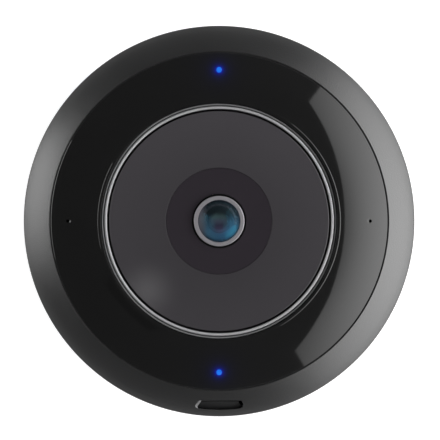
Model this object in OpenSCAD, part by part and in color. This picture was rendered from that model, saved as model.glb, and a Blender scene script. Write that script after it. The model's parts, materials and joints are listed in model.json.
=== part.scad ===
// Ceiling camera with an all-round view: a round body that locks with a twist onto a mounting plate.
// Millimetres. The origin is the middle of the plate's back face, which lies on the ceiling or on a table.
// +Z points out of the lens, and +Y is the side away from the release slot.

/* [Body] */
// Diameter over the bezel's rim
body_d = 140; // [132:1:160]
// Wall of the base housing and of the bezel
wall = 2.2; // [1.8:0.1:2.8]
// Width of the bezel, seen from the front
bezel_w = 9.2; // [7.5:0.1:10.5]
// Height of the bezel's straight side
bezel_side_h = 5.4; // [4.5:0.1:8]
// Radius of the bezel's shoulder in section
shoulder_r = 31.6; // [28:0.1:38]
// Slope of the shoulder at its inner edge, in degrees
shoulder_slope = 25; // [22:0.5:28]
// Fillet of the bezel's rim
rim_fillet = 0.8; // [0.4:0.1:1.4]
// Gap of the seam between the base and the bezel
seam_gap = 0.4; // [0.3:0.1:0.8]
// How far the base's top edge sits inside the rim
base_inset = 0.8; // [0.4:0.1:1.4]
// How much the base's radius shrinks towards the ceiling
base_taper = 2.7; // [1.5:0.1:3.2]
// Chamfer of the base's back edge
base_chamfer = 0.6; // [0.3:0.1:1]
// Thickness of the base's floor
floor_t = 2.2; // [1.6:0.1:3]
// Diameter of the deep middle of the base's floor
sump_d = 68; // [66:1:72]
// Thickness of the cord of the body seal
seal_d = 1.4; // [1.2:0.1:1.6]

/* [Mounting plate] */
// Thickness of the plate
plate_t = 2.4; // [1.8:0.1:2.8]
// Distance from the bezel's rim in to the plate's edge
plate_edge = 14; // [13.4:0.1:16]
// How far the bayonet ears reach out from the plate
ear_reach = 5; // [4:0.1:5.4]
// Thickness of the ears
ear_t = 2; // [1.6:0.1:2.6]
// Angle that each ear and lug spans
ear_angle = 22; // [18:1:22]
// Thickness of the base's bayonet lugs
lug_t = 1.9; // [1.6:0.1:2.4]
// Turn that frees the camera from the plate
twist = 24; // [24:1:26]
// Gap between the ceiling and the base's back edge
ceiling_gap = 0.9; // [0.6:0.1:1.4]
// Diameter of the circle of ceiling screws
screw_circle_d = 83.5; // [78:0.5:90]
// Diameter of the ceiling screw holes
screw_hole_d = 4.5; // [4:0.1:5.5]
// Width of the cable hole
cable_hole_w = 22; // [20:0.5:24]
// Length of the cable hole
cable_hole_l = 42; // [38:0.5:44]

/* [Release latch] */
// Width of the release slot at its inner edge
slot_in_w = 14; // [12:0.1:18]
// Radial depth of the release slot
slot_w = 3.1; // [2.6:0.1:3.6]
// Slant of the slot's ends, in degrees
slot_flare = 30; // [15:1:40]
// How deep the latch's face lies under the bezel
latch_recess = 1.3; // [0.8:0.1:1.8]
// Travel of the latch
latch_travel = 2.2; // [2.2:0.1:2.4]
// Width of the latch's blade
blade_w = 10; // [8:0.1:11]
// Thickness of the latch's blade
blade_t = 2; // [1.6:0.1:2.2]
// Diameter of the latch spring's wire
spring_wire = 0.5; // [0.4:0.05:0.6]
// Diameter of the latch spring at the middle of its wire
spring_d = 3; // [2.6:0.1:3.2]
// Turns of the latch spring
spring_turns = 9; // [6:1:12]

/* [Front ring] */
// Width of the glossy front ring
front_ring_w = 18.05; // [16:0.05:20]
// Thickness of the front ring
front_ring_t = 2.2; // [1.8:0.1:2.6]
// Radius of the front ring's curve in section
front_curve_r = 78.3; // [70:0.1:90]
// Slope of the front ring at its outer edge, in degrees
front_slope = 21.7; // [20:0.1:23]
// Gap between the front ring and the bezel
bezel_gap = 0.35; // [0.3:0.05:0.8]
// Depth of that gap
bezel_gap_depth = 0.5; // [0.4:0.05:1]
// Width of the raised lip on the front ring's inner edge
lip_w = 1.2; // [0.8:0.05:1.6]
// Fillet on the outer side of that lip
lip_round = 0.5; // [0.3:0.05:0.6]
// How far the trim ring lies below the front ring's curve
trim_drop = 0.7; // [0.4:0.05:1]
// Distance from the bezel's rim in to the lamps and microphones
signal_edge = 15.8; // [15:0.1:16.4]
// Diameter of the lit windows
lamp_d = 2.1; // [1.6:0.1:2.4]
// Diameter of the microphone holes
mic_hole_d = 1.1; // [0.8:0.1:1.6]
// Width of the microphone holes' countersinks, on the side of the lens
mic_sink_w = 0.5; // [0.3:0.05:0.6]
// Slope of those countersinks, in degrees
mic_sink_slope = 33; // [30:1:36]

/* [Trim and window] */
// Width of the trim ring
trim_w = 2; // [1.8:0.1:2.6]
// Radius of the trim ring's larger bead
trim_bead = 0.55; // [0.5:0.01:0.6]
// Radius of the trim ring's smaller bead
trim_small_bead = 0.3; // [0.25:0.01:0.32]
// How far the smaller bead lies below the larger one
trim_step = 0.25; // [0.1:0.05:0.4]
// Depth of the groove between the beads
trim_groove = 0.45; // [0.3:0.05:0.6]
// Gap between the trim ring and the window
window_gap = 0.7; // [0.4:0.05:1]
// Radius of the window's dome
window_dome_r = 250; // [200:5:400]
// Thickness of the window
window_t = 2; // [1.6:0.1:2.4]
// Diameter of the dark shroud around the lens
shroud_d = 38; // [34:0.5:42]
// Thickness of the shroud
shroud_t = 1.8; // [1.4:0.1:2.4]

/* [Lens] */
// Diameter of the lens ring
lens_ring_d = 18.1; // [17.4:0.1:19]
// Diameter of the front glass
glass_d = 15; // [14.4:0.1:15.6]
// Radius of the front glass's dome
glass_dome_r = 9; // [8.4:0.1:10]
// Thickness of the front glass at its middle
glass_t = 1.2; // [1:0.1:1.6]
// Height of the lens ring above the shroud
ring_proud = 2.2; // [1.6:0.1:3]
// Height of the lens ring
ring_h = 2.65; // [2.4:0.05:3]
// Width of the groove around the lens ring
groove_w = 0.7; // [0.6:0.05:1]
// Diameter of the lens barrel's thread
barrel_d = 14; // [13.6:0.1:15]
// Length of the lens barrel below the lens ring
barrel_l = 9.6; // [9.5:0.1:10]
// Distance from the top of the lens ring to the sensor board
lens_track = 17.2; // [16.6:0.1:18]

/* [Filter switch] */
// Side of each filter pane
pane_w = 8; // [7.4:0.1:8.4]
// Thickness of each filter pane
pane_t = 0.5; // [0.4:0.05:0.7]
// Travel of the filter slider
pane_pitch = 8.6; // [8.6:0.1:9]
// Thickness of the slider
slider_t = 1; // [0.9:0.05:1.2]
// Length of the filter lever, from its pivot to its pin
lever_l = 7; // [6.6:0.1:7.6]
// Diameter of the lever's magnet rotor
rotor_d = 4.4; // [4:0.1:5]
// Wall of the filter box
box_wall = 1.4; // [1:0.1:1.8]

/* [Boards and network socket] */
// Thickness of the main board
board_t = 1.6; // [1.2:0.1:2]
// Thickness of the small boards
small_board_t = 1.2; // [0.8:0.1:1.6]
// Width of the network socket
jack_w = 16.2; // [15.6:0.1:17]
// Height of the network socket
jack_h = 12.2; // [11.6:0.1:13.5]
// Length of the network socket
jack_l = 16.5; // [15.5:0.1:18]
// Width of the cable bay
bay_w = 24; // [22:0.5:26]
// Length of the cable bay
bay_l = 38.5; // [34:0.5:39]
// Wall of the cable bay
bay_wall = 1.6; // [1.2:0.1:2]
// Number of infrared emitters
emitters = 8; // [4:1:12]
// Diameter of the reset plunger
plunger_d = 2.8; // [2.4:0.1:3.2]
// Travel of the reset plunger
plunger_travel = 0.5; // [0.3:0.05:0.6]

/* [Fasteners] */
// Diameter of the housing screws
housing_screw_d = 3; // [2.5:0.1:3.5]
// Diameter of the board screws
board_screw_d = 2.5; // [2:0.1:3]
// Distance from the bezel's rim in to the housing screws
housing_screw_edge = 12; // [11.6:0.1:12.6]

/* [Clearances] */
// Gap of parts that slide or turn on each other
slide_gap = 0.3; // [0.2:0.05:0.4]
// Gap of parts that are pressed or screwed together
fit_gap = 0.06; // [0.03:0.01:0.1]
// Gap of a pin that runs in a hole
run_gap = 0.15; // [0.1:0.01:0.2]

/* [Hidden] */
$fn = 72;
curve_fn = 720;
body_r = body_d / 2;
tall = 60;
turns4 = [0, 90, 180, 270];

// Heights of the plate, the bayonet and the base, from the ceiling up
z_lug1 = ceiling_gap + lug_t;
z_ear0 = z_lug1 + slide_gap;
z_ear1 = z_ear0 + ear_t;
z_floor0 = z_ear1 + slide_gap;
z_floor1 = z_floor0 + floor_t;
sump_clear = 0.6;
z_sump0 = plate_t + sump_clear;
z_sump1 = z_sump0 + floor_t;
z_jack0 = z_sump1 + slide_gap;
z_board0 = z_jack0 + jack_h;
z_board1 = z_board0 + board_t;
board_headroom = 0.7;
z_seam = z_board1 + board_headroom;
z_bezel0 = z_seam + seam_gap;
z_rim = z_bezel0 + bezel_side_h;

// Bezel: its shoulder is an arc about shoulder_c
bezel_ri = body_r - bezel_w;
shoulder_cr = bezel_ri - shoulder_r * sin(shoulder_slope);
shoulder_c = [shoulder_cr, z_rim - sqrt(pow(shoulder_r, 2) - pow(body_r - shoulder_cr, 2))];
function shoulder_z(r) = shoulder_c[1] + sqrt(pow(shoulder_r, 2) - pow(r - shoulder_cr, 2));
z_bezel_in = shoulder_z(bezel_ri);
ledge_lap = 3.9;
ledge_t = 1.6;
z_ledge1 = z_bezel_in - wall - 0.2;
z_ledge0 = z_ledge1 - ledge_t;

// Housing screws clamp the base's columns, the chassis and the bezel's bosses
screw_pos = body_r - housing_screw_edge;
column_r = housing_screw_d / 2 + 2.3;
boss_h = 3.6;
chassis_t = 1.8;
z_chassis1 = z_ledge0 - boss_h;
z_chassis0 = z_chassis1 - chassis_t;
head_r = housing_screw_d / 2 + 1.2;
head_h = 2;
z_head0 = z_floor0 + 0.6;

// Base housing
seam_r = body_r - base_inset;
back_r = seam_r - base_taper;
function base_r(z) = back_r + base_taper * (z - ceiling_gap) / (z_seam - ceiling_gap);
land_w = seal_d + 2;
land_h = 3.2;
seal_r = seam_r - land_w / 2;
seal_squash = 0.2;
groove_h = seal_d - seal_squash - 0.05;
floor_ro = base_r(z_floor0) - wall / 2;
sump_r = sump_d / 2;

// Mounting plate and bayonet
plate_r = body_r - plate_edge;
ear_r = plate_r + ear_reach;
ear_root = 2;
ear_middles = [90, 210, 330];
lug_ri = plate_r + slide_gap + 0.2;

// Release latch, on the -Y side
latch_turn = 270;
slot_ro = body_r - wall - 0.3;
slot_ri = slot_ro - slot_w;
latch_gap = 0.15;
blade_ro = back_r - wall - slide_gap - 0.2;
blade_ri = blade_ro - blade_t;
catch_depth = 1.5;
foot_ri = ear_r - catch_depth;
foot_angle = 2 * asin(blade_w / 2 / foot_ri);
stop_gap = 0.6;
stop_angle = 4;
bar_t = 1.6;
z_bar0 = z_seam + latch_travel + slide_gap + 0.5;
chassis_ro = screw_pos - 1.5;
bar_ri = chassis_ro + 1;
spring_pos = (bar_ri + blade_ri) / 2;

// Front ring: an arc about front_c, with a shelf for the trim ring and the window
front_ro = bezel_ri - bezel_gap;
front_ri = front_ro - front_ring_w;
front_step = 0.15;
front_c = [front_ro - front_curve_r * sin(front_slope),
           z_bezel_in + front_step - front_curve_r * cos(front_slope)];
function front_z(r) = front_c[1] + sqrt(pow(front_curve_r, 2) - pow(r - front_c[0], 2));
function front_under(r) = front_c[1] + sqrt(pow(front_curve_r - front_ring_t, 2) - pow(r - front_c[0], 2));
foot_w = 3.2;
neck_w = 1.9;
lip_r = front_ri + lip_w;
lip_fall = 45;
z_lip = front_z(lip_r) + lip_round * (1 - cos(lip_fall));

// Trim ring and window
trim_gap = 0.3;
z_trim = front_z(lip_r) - trim_drop;
trim_ro = front_ri - trim_gap;
trim_ri = trim_ro - trim_w;
z_bead = z_trim - 0.1;
window_ro = trim_ri - window_gap;
z_window = z_trim + 0.2;
window_cz = z_window - sqrt(pow(window_dome_r, 2) - pow(window_ro, 2));
function window_z(r) = window_cz + sqrt(pow(window_dome_r, 2) - pow(r, 2));
function window_under(r) = window_cz + sqrt(pow(window_dome_r - window_t, 2) - pow(r, 2));
window_foot_w = 2.2;
window_foot_h = 0.6;
shelf_t = 1.4;
z_shelf1 = z_window - window_t - window_foot_h;
z_shelf0 = z_shelf1 - shelf_t;

// Shroud and lens
shroud_r = shroud_d / 2;
shroud_gap = 0.1;
shroud_sunk = 0.1;
window_ri = shroud_r + shroud_gap;
z_shroud1 = window_z(shroud_r) - shroud_sunk;
z_shroud0 = z_shroud1 - shroud_t;
ring_r = lens_ring_d / 2;
shroud_ri = ring_r + groove_w;
z_ring1 = z_shroud1 + ring_proud;
z_ring0 = z_ring1 - ring_h;
glass_r = glass_d / 2;
glass_sink = 0.25;
z_glass_edge = z_ring1 - glass_sink;
z_dome_c = z_glass_edge - sqrt(pow(glass_dome_r, 2) - pow(glass_r, 2));
hollow_r = glass_r - 1.9;
z_hollow_c = z_dome_c + glass_dome_r - glass_t - hollow_r;
barrel_r = barrel_d / 2;
flange_h = 2.2;
z_barrel0 = z_ring0 - barrel_l;
second_r = 5.5;
third_r = 4.5;
rear_r = 4;
z_second = z_ring0 - 3.4;
z_third = z_ring0 - 6.2;
web_t = 0.6;
stop_t = 0.3;
z_stop0 = z_third - web_t - stop_t;
rear_h = 1.55;
z_rear0 = z_stop0 - fit_gap - rear_h;
retainer_h = 0.75;

// Sensor board and filter switch, measured from the lens
z_sensor1 = z_ring1 - lens_track;
z_sensor0 = z_sensor1 - small_board_t;
sensor_size = [9, 8, 1.2];
slider_l = pane_pitch + pane_w + 1.6;
slider_w = pane_w + 3;
cavity_l = slider_l + pane_pitch + 0.8;
cavity_y1 = slider_w / 2 + slide_gap;
pivot_y = -slider_w / 2 - lever_l;
cavity_y0 = pivot_y - rotor_d / 2 - 0.6;
lever_swing = asin(pane_pitch / 2 / lever_l);
z_rail1 = z_sensor1 + sensor_size[2] + 0.6;
rail_t = 0.6;
rail_clear_x = pane_pitch / 2 + 2;
z_slider0 = z_rail1 + 0.1;
z_slider1 = z_slider0 + slider_t;
z_holder0 = z_slider1 + slide_gap;
holder_t = 1.6;
z_holder1 = z_holder0 + holder_t;
collar_t = 2;
z_collar1 = z_ring0 - flange_h - 1.2;
lever_pin_r = 0.6;
pivot_pin_r = 0.6;
arm_w = 1.8;
arm_t = 0.5;
holder_l = cavity_l + 2 * box_wall;
holder_y0 = cavity_y0 - box_wall;
holder_w = cavity_y1 + box_wall - holder_y0;
sensor_board_x = holder_l + 7.6;
standoff_r = 1.8;
standoff_x = sensor_board_x / 2 - 2;
standoff_y = [cavity_y0 + 0.4, cavity_y1 + box_wall + 3.3];
sensor_board_y0 = standoff_y[0] - 3;
sensor_board_y1 = standoff_y[1] + 3;
connector_l = 16;
connector_w = 4;

// Chassis: a stepped plate that carries the infrared board, the shroud and the indicator board
z_seat1 = z_shelf0 - 1.2;
z_seat0 = z_seat1 - chassis_t;
hat_t = 2;
hat_ro = window_ro + 0.7;
spout_ro = shroud_r - 0.2;
spout_ri = spout_ro - 2.3;
z_ir1 = z_seat1 + small_board_t;
ir_board_ri = spout_ro + 0.2;
ir_board_ro = window_ro - window_foot_w - 1;
emitter_pos = (ir_board_ri + ir_board_ro) / 2 + 0.6;

// Indicator board, lamps and microphones
signal_pos = body_r - signal_edge;
lamp_turns = [90, 270];
mic_turns = [0, 180];
indicator_ro = signal_pos + 1.8;
indicator_ri = signal_pos - 7.2;
z_indicator1 = z_chassis1 + small_board_t;
lamp_size = [2, 1.4, 0.7];
pipe_r = lamp_d / 2 - fit_gap;
pipe_collar_r = lamp_d / 2 + 0.8;
mic_r = 1.6;
mic_h = 1.2;
mic_sink_h = 1;
mic_sink_r = mic_hole_d / 2 + mic_sink_h / tan(mic_sink_slope);
z_mic_sink = front_z(signal_pos - mic_hole_d / 2 - mic_sink_w) - mic_sink_w * tan(mic_sink_slope);
gasket_r = 2.6;

// Main board and what it carries
main_board_r = screw_pos - column_r - 0.6;
post_pos = main_board_r - 6;
post_r = board_screw_d / 2 + 1.7;
board_head_h = 1.4;
board_screw_bite = 5;
chip_inset = 10.6;
chip_pos = main_board_r - chip_inset;
chip_turn = 150;
chip_size = [14, 14, 1.4];
pad_t = 1.8;
memory_turns = [166, 134];
memory_size = [9, 13, 1];
transformer_turn = 30;
transformer_size = [11, 15, 7.6];
inductor_size = [7, 7, 4];
inductor_turns = [52, 330];
capacitor_r = 3.15;
capacitor_h = 7.7;
capacitor_turns = [198, 212, 226];
flex_t = 0.3;
flex_w = 8;
flex_socket_size = [2.6, flex_w + 1.6, 2];
led_flex_inset = 8.15;
led_flex_pos = ir_board_ro - led_flex_inset;
signal_flex_pos = indicator_ri + 3.5;
signal_flex_turn = 20;

// Cable bay, network socket and reset plunger
bay_y1 = 8;
bay_y0 = bay_y1 - bay_l;
z_bay1 = z_board0 - 0.4 - bay_wall;
jack_y0 = bay_y1 + 0.2;
jack_wall = 1.6;
plug_w = 11.9;
plug_h = 8;
plug_l = 13.5;
plug_z0 = z_jack0 + jack_wall;
contact_pitch = 1.02;
contact_t = 0.4;
reset_xy = [bay_w / 2 + 8, -4];
guide_h = 4;
plunger_r = plunger_d / 2;
z_guide1 = z_sump1 + guide_h;
collar_h = 1;
switch_h = 2;
z_switch0 = z_board0 - switch_h;
z_plunger1 = z_switch0 - plunger_travel - 0.1;
plunger_sunk = 0.4;

// A ring of rectangular section
module ring(r0, r1, z0, z1) {
    rotate_extrude() translate([r0, z0]) square([r1 - r0, z1 - z0]);
}

// A piece of such a ring, centred on the angle middle
module ring_part(r0, r1, z0, z1, middle, angle) {
    rotate([0, 0, middle - angle / 2])
        rotate_extrude(angle = angle) translate([r0, z0]) square([r1 - r0, z1 - z0]);
}

// A post or a hole from z0 to z1
module rod(r, z0, z1) {
    translate([0, 0, z0]) cylinder(r = r, h = z1 - z0);
}

// A box centred in X and Y that stands on z0
module block(size, z0) {
    translate([-size[0] / 2, -size[1] / 2, z0]) cube(size);
}

// Copies around the axis at distance r
module around(r, angles) {
    for (a = angles) rotate([0, 0, a]) translate([r, 0, 0]) children();
}

// The section of a disc of radius r about c, between the radii x0 and x1 and above c
module arc_slice(c, r, x0, x1) {
    intersection() {
        translate(c) circle(r, $fn = curve_fn);
        translate([x0, c[1]]) square([x1 - x0, r + 1]);
    }
}

// The section of a curved wall of thickness t, whose outside is that disc
module arc_wall(c, r, t, x0, x1) {
    difference() {
        arc_slice(c, r, x0, x1);
        translate(c) circle(r - t, $fn = curve_fn);
    }
}

// A screw that points up from z0: pan head with a hexagonal socket, then a shank
module screw(head_r, head_h, shank_r, z0, z1) {
    difference() {
        union() {
            rod(head_r, z0, z0 + head_h);
            rod(shank_r, z0 + head_h, z1);
        }
        translate([0, 0, z0 - 1]) cylinder(r = head_r * 0.5, h = 1 + head_h * 0.6, $fn = 6);
    }
}

// A screw whose head is on top, at z1
module screw_down(head_r, head_h, shank_r, z0, z1) {
    translate([0, 0, z1]) mirror([0, 0, 1]) screw(head_r, head_h, shank_r, 0, z1 - z0);
}

// A raised ear or stop on the plate's edge, centred on the angle middle
module plate_ear(middle, angle) {
    riser_ro = plate_r - 0.3;
    rotate([0, 0, middle - angle / 2]) rotate_extrude(angle = angle) polygon([
        [riser_ro - ear_root, plate_t / 2], [riser_ro, plate_t / 2], [riser_ro, z_ear0],
        [ear_r, z_ear0], [ear_r, z_ear1], [riser_ro - ear_root, z_ear1]]);
}

module mounting_plate() {
    stop_offset = foot_angle / 2 + stop_gap + stop_angle / 2;
    end_y = cable_hole_l / 2 - cable_hole_w / 2;
    middle_y = bay_y0 + cable_hole_l / 2;
    color([0.62, 0.63, 0.65]) difference() {
        union() {
            rod(plate_r, 0, plate_t);
            for (a = ear_middles) plate_ear(a, ear_angle);
            plate_ear(latch_turn - stop_offset, stop_angle);
            plate_ear(latch_turn + stop_offset + twist, stop_angle);
        }
        translate([0, middle_y, 0]) {
            block([cable_hole_w, 2 * end_y, plate_t + 2], -1);
            for (s = [-1, 1]) translate([0, s * end_y, 0]) rod(cable_hole_w / 2, -1, plate_t + 1);
        }
        rotate([0, 0, 45]) around(screw_circle_d / 2, turns4) rod(screw_hole_d / 2, -1, plate_t + 1);
        translate(reset_xy) rod(plunger_r + 0.4, -1, plate_t + 1);
    }
}

module base_housing() {
    land_z = z_seam - land_h;
    pedestal_z0 = z_floor1 - 1;
    pedestal_h = z_board0 - chip_size[2] - pad_t - pedestal_z0;
    color([0.1, 0.1, 0.11]) difference() {
        union() {
            rotate_extrude() polygon([
                [back_r - wall, ceiling_gap], [back_r - base_chamfer, ceiling_gap],
                [base_r(ceiling_gap + base_chamfer), ceiling_gap + base_chamfer], [seam_r, z_seam],
                [seam_r - land_w, z_seam], [seam_r - land_w, land_z],
                [base_r(land_z - land_w) - wall, land_z - land_w]]);
            rotate_extrude() polygon([
                [0, z_sump0], [sump_r, z_sump0], [sump_r, z_floor0], [floor_ro, z_floor0],
                [floor_ro, z_floor1], [sump_r - floor_t, z_floor1],
                [sump_r - floor_t, z_sump1], [0, z_sump1]]);
            for (a = ear_middles)
                ring_part(lug_ri, back_r - wall / 2, ceiling_gap, z_lug1, a, ear_angle);
            rotate([0, 0, 45]) around(screw_pos, turns4) rod(column_r, z_floor0, z_chassis0);
            around(post_pos, turns4) rod(post_r, z_floor1 - 1, z_board0);
            rotate([0, 0, chip_turn]) translate([chip_pos, 0, 0])
                block([chip_size[0] - 1, chip_size[1] - 1, pedestal_h], pedestal_z0);
            translate([-bay_w / 2 - bay_wall, bay_y0 - bay_wall, z_sump0])
                cube([bay_w + 2 * bay_wall, bay_l + 2 * bay_wall, z_bay1 + bay_wall - z_sump0]);
            translate(reset_xy) rod(plunger_r + 1.8, z_sump0, z_guide1);
        }
        ring(seal_r - seal_d / 2 - fit_gap, seal_r + seal_d / 2 + fit_gap, z_seam - groove_h, z_seam + 1);
        translate([-bay_w / 2, bay_y0, z_sump0 - 1]) cube([bay_w, bay_l, z_bay1 - z_sump0 + 1]);
        translate([-jack_w / 2 - slide_gap, bay_y1 - 1, z_jack0 - slide_gap])
            cube([jack_w + 2 * slide_gap, bay_wall + 2, z_board0 - z_jack0 + slide_gap]);
        rotate([0, 0, 45]) around(screw_pos, turns4) {
            rod(head_r + 0.2, z_floor0 - 1, z_head0 + head_h);
            rod(housing_screw_d / 2 + 0.2, z_floor0, z_chassis0 + 1);
        }
        around(post_pos, turns4)
            rod(board_screw_d / 2 + fit_gap, z_board0 - board_screw_bite - 1, z_board0 + 1);
        translate(reset_xy) rod(plunger_r + run_gap, z_sump0 - 1, z_guide1 + 1);
        intersection() {
            ring(blade_ri - slide_gap, blade_ro + slide_gap, z_floor0 - 1, z_floor1 + 1);
            translate([0, -body_r, 0]) block([blade_w + 2 * slide_gap, body_r, tall], 0);
        }
    }
}

module body_seal() {
    color([0.05, 0.05, 0.05]) rotate_extrude()
        translate([seal_r, z_seam - groove_h + seal_d / 2]) circle(seal_d / 2);
}

// The release slot in plan, made smaller all round by gap
module slot_outline(gap) {
    in_half = slot_in_w / 2 - gap / cos(slot_flare) + gap * tan(slot_flare);
    reach = slot_w + 2;
    intersection() {
        polygon([[-in_half, -slot_ri - gap], [in_half, -slot_ri - gap],
                 [in_half + reach * tan(slot_flare), -slot_ri - gap - reach],
                 [-in_half - reach * tan(slot_flare), -slot_ri - gap - reach]]);
        circle(slot_ro - gap, $fn = curve_fn);
    }
}

module front_bezel() {
    fillet_r = body_r - rim_fillet;
    fillet_rise = sqrt(pow(shoulder_r - rim_fillet, 2) - pow(fillet_r - shoulder_cr, 2));
    fillet_c = [fillet_r, shoulder_c[1] + fillet_rise];
    toward = (fillet_c - shoulder_c) / norm(fillet_c - shoulder_c);
    color([0.16, 0.16, 0.17]) difference() {
        union() {
            rotate_extrude() difference() {
                union() {
                    difference() {
                        arc_slice(shoulder_c, shoulder_r, bezel_ri, body_r);
                        translate([0, z_bezel0 - tall]) square([body_r + 1, tall]);
                        difference() {
                            translate(shoulder_c) circle(shoulder_r - wall, $fn = curve_fn);
                            translate([body_r - wall, 0]) square([wall, tall]);
                        }
                    }
                    translate([bezel_ri - ledge_lap, z_ledge0]) square([ledge_lap + wall, ledge_t]);
                    translate([front_ro + fit_gap, z_ledge0])
                        square([bezel_gap - fit_gap + wall / 2, z_bezel_in - bezel_gap_depth - z_ledge0]);
                }
                difference() {
                    polygon([fillet_c, fillet_c + toward * rim_fillet, fillet_c + toward * 4 * rim_fillet,
                             fillet_c + [4 * rim_fillet, 0], fillet_c + [rim_fillet, 0]]);
                    translate(fillet_c) circle(rim_fillet);
                }
            }
            rotate([0, 0, 45]) around(screw_pos, turns4) rod(column_r - 0.4, z_chassis1, z_ledge0 + 0.5);
        }
        rotate([0, 0, 45]) around(screw_pos, turns4)
            rod(housing_screw_d / 2 + fit_gap, z_chassis1 - 1, z_ledge1 - 1);
        translate([0, 0, z_rim - 4]) linear_extrude(tall) slot_outline(0);
    }
}

module front_ring() {
    brow = [for (a = [0:5:lip_fall])
        [lip_r - lip_round * (sin(lip_fall) - sin(a)), z_lip - lip_round * (1 - cos(a))]];
    color([0.02, 0.02, 0.02]) difference() {
        rotate_extrude() difference() {
            union() {
                arc_wall(front_c, front_curve_r, front_ring_t, front_ri, front_ro);
                intersection() {
                    arc_slice(front_c, front_curve_r, front_ri, front_ro);
                    union() {
                        translate([front_ro - foot_w, z_ledge1]) square([foot_w, tall]);
                        translate([front_ri, z_shelf0]) square([neck_w, tall]);
                    }
                }
                translate([window_ro - window_foot_w, z_shelf0])
                    square([front_ri + neck_w - window_ro + window_foot_w, shelf_t]);
                polygon(concat([[lip_r, z_shelf1], [front_ri, z_shelf1], [front_ri, z_lip]], brow));
            }
            translate([front_ri - 1, z_lip]) square([lip_w + 1, tall]);
        }
        around(signal_pos, lamp_turns) rod(lamp_d / 2, z_ledge0, tall);
        around(signal_pos, mic_turns) {
            rod(mic_hole_d / 2, z_ledge0, tall);
            translate([0, 0, z_mic_sink]) cylinder(h = mic_sink_h, r1 = mic_hole_d / 2, r2 = mic_sink_r);
        }
    }
}

module trim_ring() {
    color([0.72, 0.73, 0.75]) rotate_extrude() {
        translate([trim_ri, z_shelf1]) square([trim_w, z_bead - trim_groove - z_shelf1]);
        translate([trim_ri, z_shelf1]) square([2 * trim_bead, z_bead - z_shelf1]);
        translate([trim_ri + trim_bead, z_bead]) circle(trim_bead);
        translate([trim_ro - 2 * trim_small_bead, z_shelf1])
            square([2 * trim_small_bead, z_bead - trim_step - z_shelf1]);
        translate([trim_ro - trim_small_bead, z_bead - trim_step]) circle(trim_small_bead);
    }
}

module ir_window() {
    color([0.2, 0.19, 0.21, 0.8]) rotate_extrude() {
        arc_wall([0, window_cz], window_dome_r, window_t, window_ri, window_ro);
        intersection() {
            arc_slice([0, window_cz], window_dome_r, window_ri, window_ro);
            translate([window_ro - window_foot_w, z_shelf1]) square([window_foot_w, tall]);
        }
    }
}

module lens_shroud() {
    color([0.1, 0.09, 0.11]) ring(shroud_ri, shroud_r, z_shroud0, z_shroud1);
}

module lens_ring() {
    color([0.5, 0.5, 0.52]) ring(glass_r + fit_gap, ring_r, z_ring0, z_ring1);
}

module lens_seal() {
    color([0.03, 0.03, 0.03]) ring(ring_r + fit_gap, shroud_ri - fit_gap, z_shroud0, z_shroud1 - 0.6);
}

module front_glass() {
    color([0.3, 0.4, 0.5, 0.5]) difference() {
        intersection() {
            translate([0, 0, z_dome_c]) sphere(glass_dome_r);
            rod(glass_r, z_ring0, tall);
        }
        translate([0, 0, z_hollow_c]) sphere(hollow_r);
    }
}

module second_element() {
    dome_r = 6.5;
    edge_h = 0.8;
    dome_c = z_second + edge_h - sqrt(pow(dome_r, 2) - pow(second_r, 2));
    color([0.3, 0.45, 0.6, 0.5]) difference() {
        intersection() {
            translate([0, 0, dome_c]) sphere(dome_r);
            rod(second_r, z_second, tall);
        }
        translate([0, 0, z_second - 0.6]) sphere(3);
    }
}

module third_element() {
    dome_r = 7;
    color([0.4, 0.3, 0.6, 0.5]) intersection() {
        translate([0, 0, z_third + 1.9 - dome_r]) sphere(dome_r);
        rod(third_r, z_third, tall);
    }
}

module aperture_stop() {
    color([0.05, 0.05, 0.05]) ring(1.6, rear_r, z_stop0, z_stop0 + stop_t);
}

module rear_element() {
    color([0.35, 0.35, 0.55, 0.5]) intersection() {
        translate([0, 0, z_rear0 + 9]) sphere(9);
        rod(rear_r, z_rear0, z_rear0 + rear_h);
    }
}

module rear_retainer() {
    color([0.1, 0.1, 0.1]) ring(2.6, rear_r, z_rear0 - retainer_h, z_rear0);
}

module lens_barrel() {
    color([0.08, 0.08, 0.08]) difference() {
        union() {
            rod(ring_r - 0.1, z_ring0 - flange_h, z_ring0);
            rod(barrel_r, z_barrel0, z_ring0 - flange_h);
        }
        rod(second_r + fit_gap, z_second, z_ring0 + 1);
        rod(third_r + fit_gap, z_third, z_second + 1);
        rod(2.6, z_third - 1, z_third + 1);
        rod(rear_r + fit_gap, z_barrel0 - 1, z_third - web_t);
    }
}

module lens_holder() {
    color([0.12, 0.12, 0.13]) {
        difference() {
            union() {
                translate([-holder_l / 2, holder_y0, z_holder0]) cube([holder_l, holder_w, holder_t]);
                rod(barrel_r + collar_t, z_holder0, z_collar1);
            }
            rod(barrel_r + fit_gap, z_holder0 - 1, z_collar1 + 1);
        }
        translate([0, pivot_y, 0]) rod(pivot_pin_r, z_sensor1 + 0.1, z_holder0 + 0.5);
    }
}

module filter_box() {
    color([0.15, 0.15, 0.16]) {
        difference() {
            translate([-holder_l / 2, holder_y0, z_sensor1])
                cube([holder_l, holder_w, z_holder0 - z_sensor1]);
            translate([-cavity_l / 2, cavity_y0, z_sensor1 - 1])
                cube([cavity_l, cavity_y1 - cavity_y0, z_holder0 - z_sensor1 + 2]);
        }
        translate([-cavity_l / 2 - 0.5, slider_w / 2 - 0.7, z_rail1 - rail_t])
            cube([cavity_l + 1, cavity_y1 - slider_w / 2 + 1.2, rail_t]);
        for (s = [-1, 1]) mirror([s < 0 ? 1 : 0, 0, 0])
            translate([rail_clear_x, -slider_w / 2 - 1, z_rail1 - rail_t])
                cube([cavity_l / 2 + 0.5 - rail_clear_x, 1.7, rail_t]);
    }
}

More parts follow.
